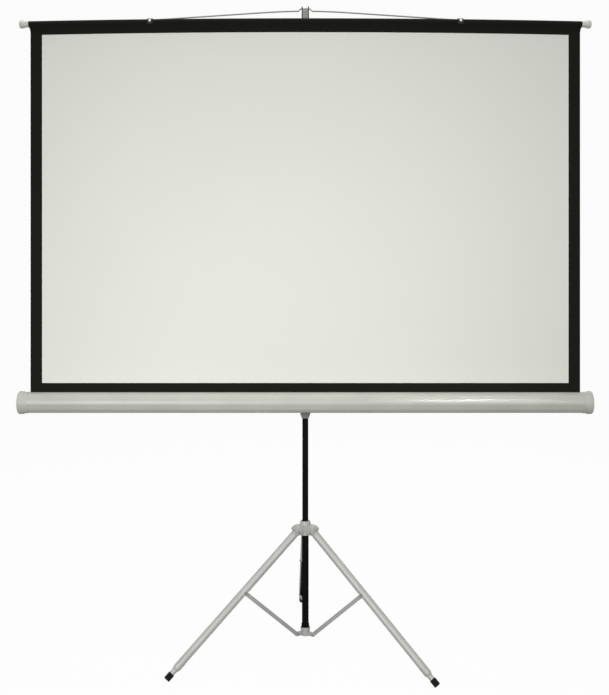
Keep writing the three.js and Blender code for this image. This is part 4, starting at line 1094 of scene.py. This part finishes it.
def makeStage():
    turnBack = np.linspace(0, np.pi / 2, 13)
    profile = np.concatenate([[(stage["front"], 0)],
                              np.stack([stage["back"] + stage["bend"] * np.sin(turnBack),
                                        stage["bend"] * (1 - np.cos(turnBack))], axis=1),
                              [(stage["back"] + stage["bend"], stage["height"])]])
    x = np.array([[-stage["half"], stage["half"]]])
    points = np.stack(np.broadcast_arrays(x, profile[:, :1], profile[:, 1:]), axis=2)
    sweep = shell(points, closed=False, startCap=False, endCap=False)
    mesh = bpy.data.meshes.new("floor")
    mesh.from_pydata(sweep["points"].tolist(), [], sweep["quads"].tolist())
    mesh.polygons.foreach_set("use_smooth", np.ones(len(mesh.polygons), bool))
    floor = bpy.data.objects.new("floor", mesh)
    bpy.context.scene.collection.objects.link(floor)
    floorFinish = Finish("pale floor", roughness=stage["roughness"])
    # the camera sees mostly plain white, the rest of the floor's own shade keeps the object's shadow
    seen = seenDirectly(floorFinish.tree)
    tint = floorFinish.node("ShaderNodeMix", {0: seen, 6: stage["lighting"], 7: stage["seen"]},
                            data_type="RGBA")
    floorFinish.link(tint.outputs[2], "Base Color")
    share = floorFinish.node("ShaderNodeMath", {0: seen, 1: stage["share"]}, operation="MULTIPLY").outputs[0]
    white = floorFinish.node("ShaderNodeEmission", {"Color": (1, 1, 1, 1), "Strength": stage["white"]})
    mix = floorFinish.node("ShaderNodeMixShader", {0: share, 1: floorFinish.shader.outputs[0],
                                                   2: white.outputs[0]})
    floorFinish.tree.links.new(mix.outputs[0], floorFinish.tree.nodes["Material Output"].inputs["Surface"])
    mesh.materials.append(floorFinish.material)


def makeWorld():
    # white where it is seen directly, a dim even light for all other rays
    world = bpy.data.worlds.new("studio")
    world.use_nodes = True
    tree = world.node_tree
    soft, white = tree.nodes["Background"], tree.nodes.new("ShaderNodeBackground")
    for light, strength in ((soft, stage["ambient"]), (white, stage["white"] * stage["worldShare"])):
        light.inputs["Color"].default_value = (1, 1, 1, 1)
        light.inputs["Strength"].default_value = strength
    mix = tree.nodes.new("ShaderNodeMixShader")
    tree.links.new(seenDirectly(tree), mix.inputs[0])
    tree.links.new(soft.outputs[0], mix.inputs[1])
    tree.links.new(white.outputs[0], mix.inputs[2])
    tree.links.new(mix.outputs[0], tree.nodes["World Output"].inputs["Surface"])
    bpy.context.scene.world = world


# Lamps: large soft areas, each aimed at a point on the object. The narrow one shows in reflections alone
# and lays the bright streak along the right of the case.
lamps = {
    "key": {"place": (-1.2, -3.6, 1.45), "aim": (-0.25, -0.16, 0.82), "size": 1.6, "power": 15.5,
            "spread": 80},
    "fill": {"place": (1.2, -3.4, 1.65), "aim": (0.3, -0.16, 1.2), "size": 0.8, "power": 13.8,
             "spread": 120},
    "streak": {"place": (1.17, -3.4, 2.98), "aim": (0.54, -0.16, 0.83), "size": 0.2, "power": 0.6,
               "spread": 11, "diffuse": False},
    "top": {"place": (-0.2, -0.3, 4.4), "aim": (0.0, -0.2, 0.6), "size": 2.6, "power": 41,
            "spread": 150},
    "rear": {"place": (0.8, 3.4, 3.2), "aim": (0.0, 0.0, 1.0), "size": 2.5, "power": 30,
             "spread": 150}}


def makeLamp(name, settings):
    light = bpy.data.lights.new(name, "AREA")
    light.shape = "DISK"
    light.size = settings["size"]
    light.spread = math.radians(settings["spread"])
    light.energy = settings["power"]
    lamp = bpy.data.objects.new(name, light)
    lamp.location = settings["place"]
    lamp.visible_diffuse = settings.get("diffuse", True)
    towards = Vector(settings["aim"]) - Vector(settings["place"])
    lamp.rotation_euler = towards.to_track_quat("-Z", "Y").to_euler()
    bpy.context.scene.collection.objects.link(lamp)


# Camera: level and square to the sheet; the frame is shifted down to take in the feet.
camera = {"back": 3.4, "height": 1.370, "focal": 1022.7, "imageHeight": 695, "sensor": 36.0,
          "horizon": 245.65, "aside": 0.8}


def makeCamera():
    data = bpy.data.cameras.new("camera")
    data.sensor_width = camera["sensor"]
    data.lens = camera["focal"] / camera["imageHeight"] * camera["sensor"]
    data.shift_y = -(camera["imageHeight"] / 2 - camera["horizon"]) / camera["imageHeight"]
    data.shift_x = -camera["aside"] / camera["imageHeight"]
    seat = bpy.data.objects.new("camera", data)
    seat.location = (0, sheetY - camera["back"], camera["height"])
    seat.rotation_euler = (math.pi / 2, 0, 0)
    bpy.context.scene.collection.objects.link(seat)
    bpy.context.scene.camera = seat


makeStage()
makeWorld()
for name, settings in lamps.items():
    makeLamp(name, settings)
makeCamera()
bpy.context.scene.view_settings.view_transform = "Standard"
print("stage, lamps and camera set")
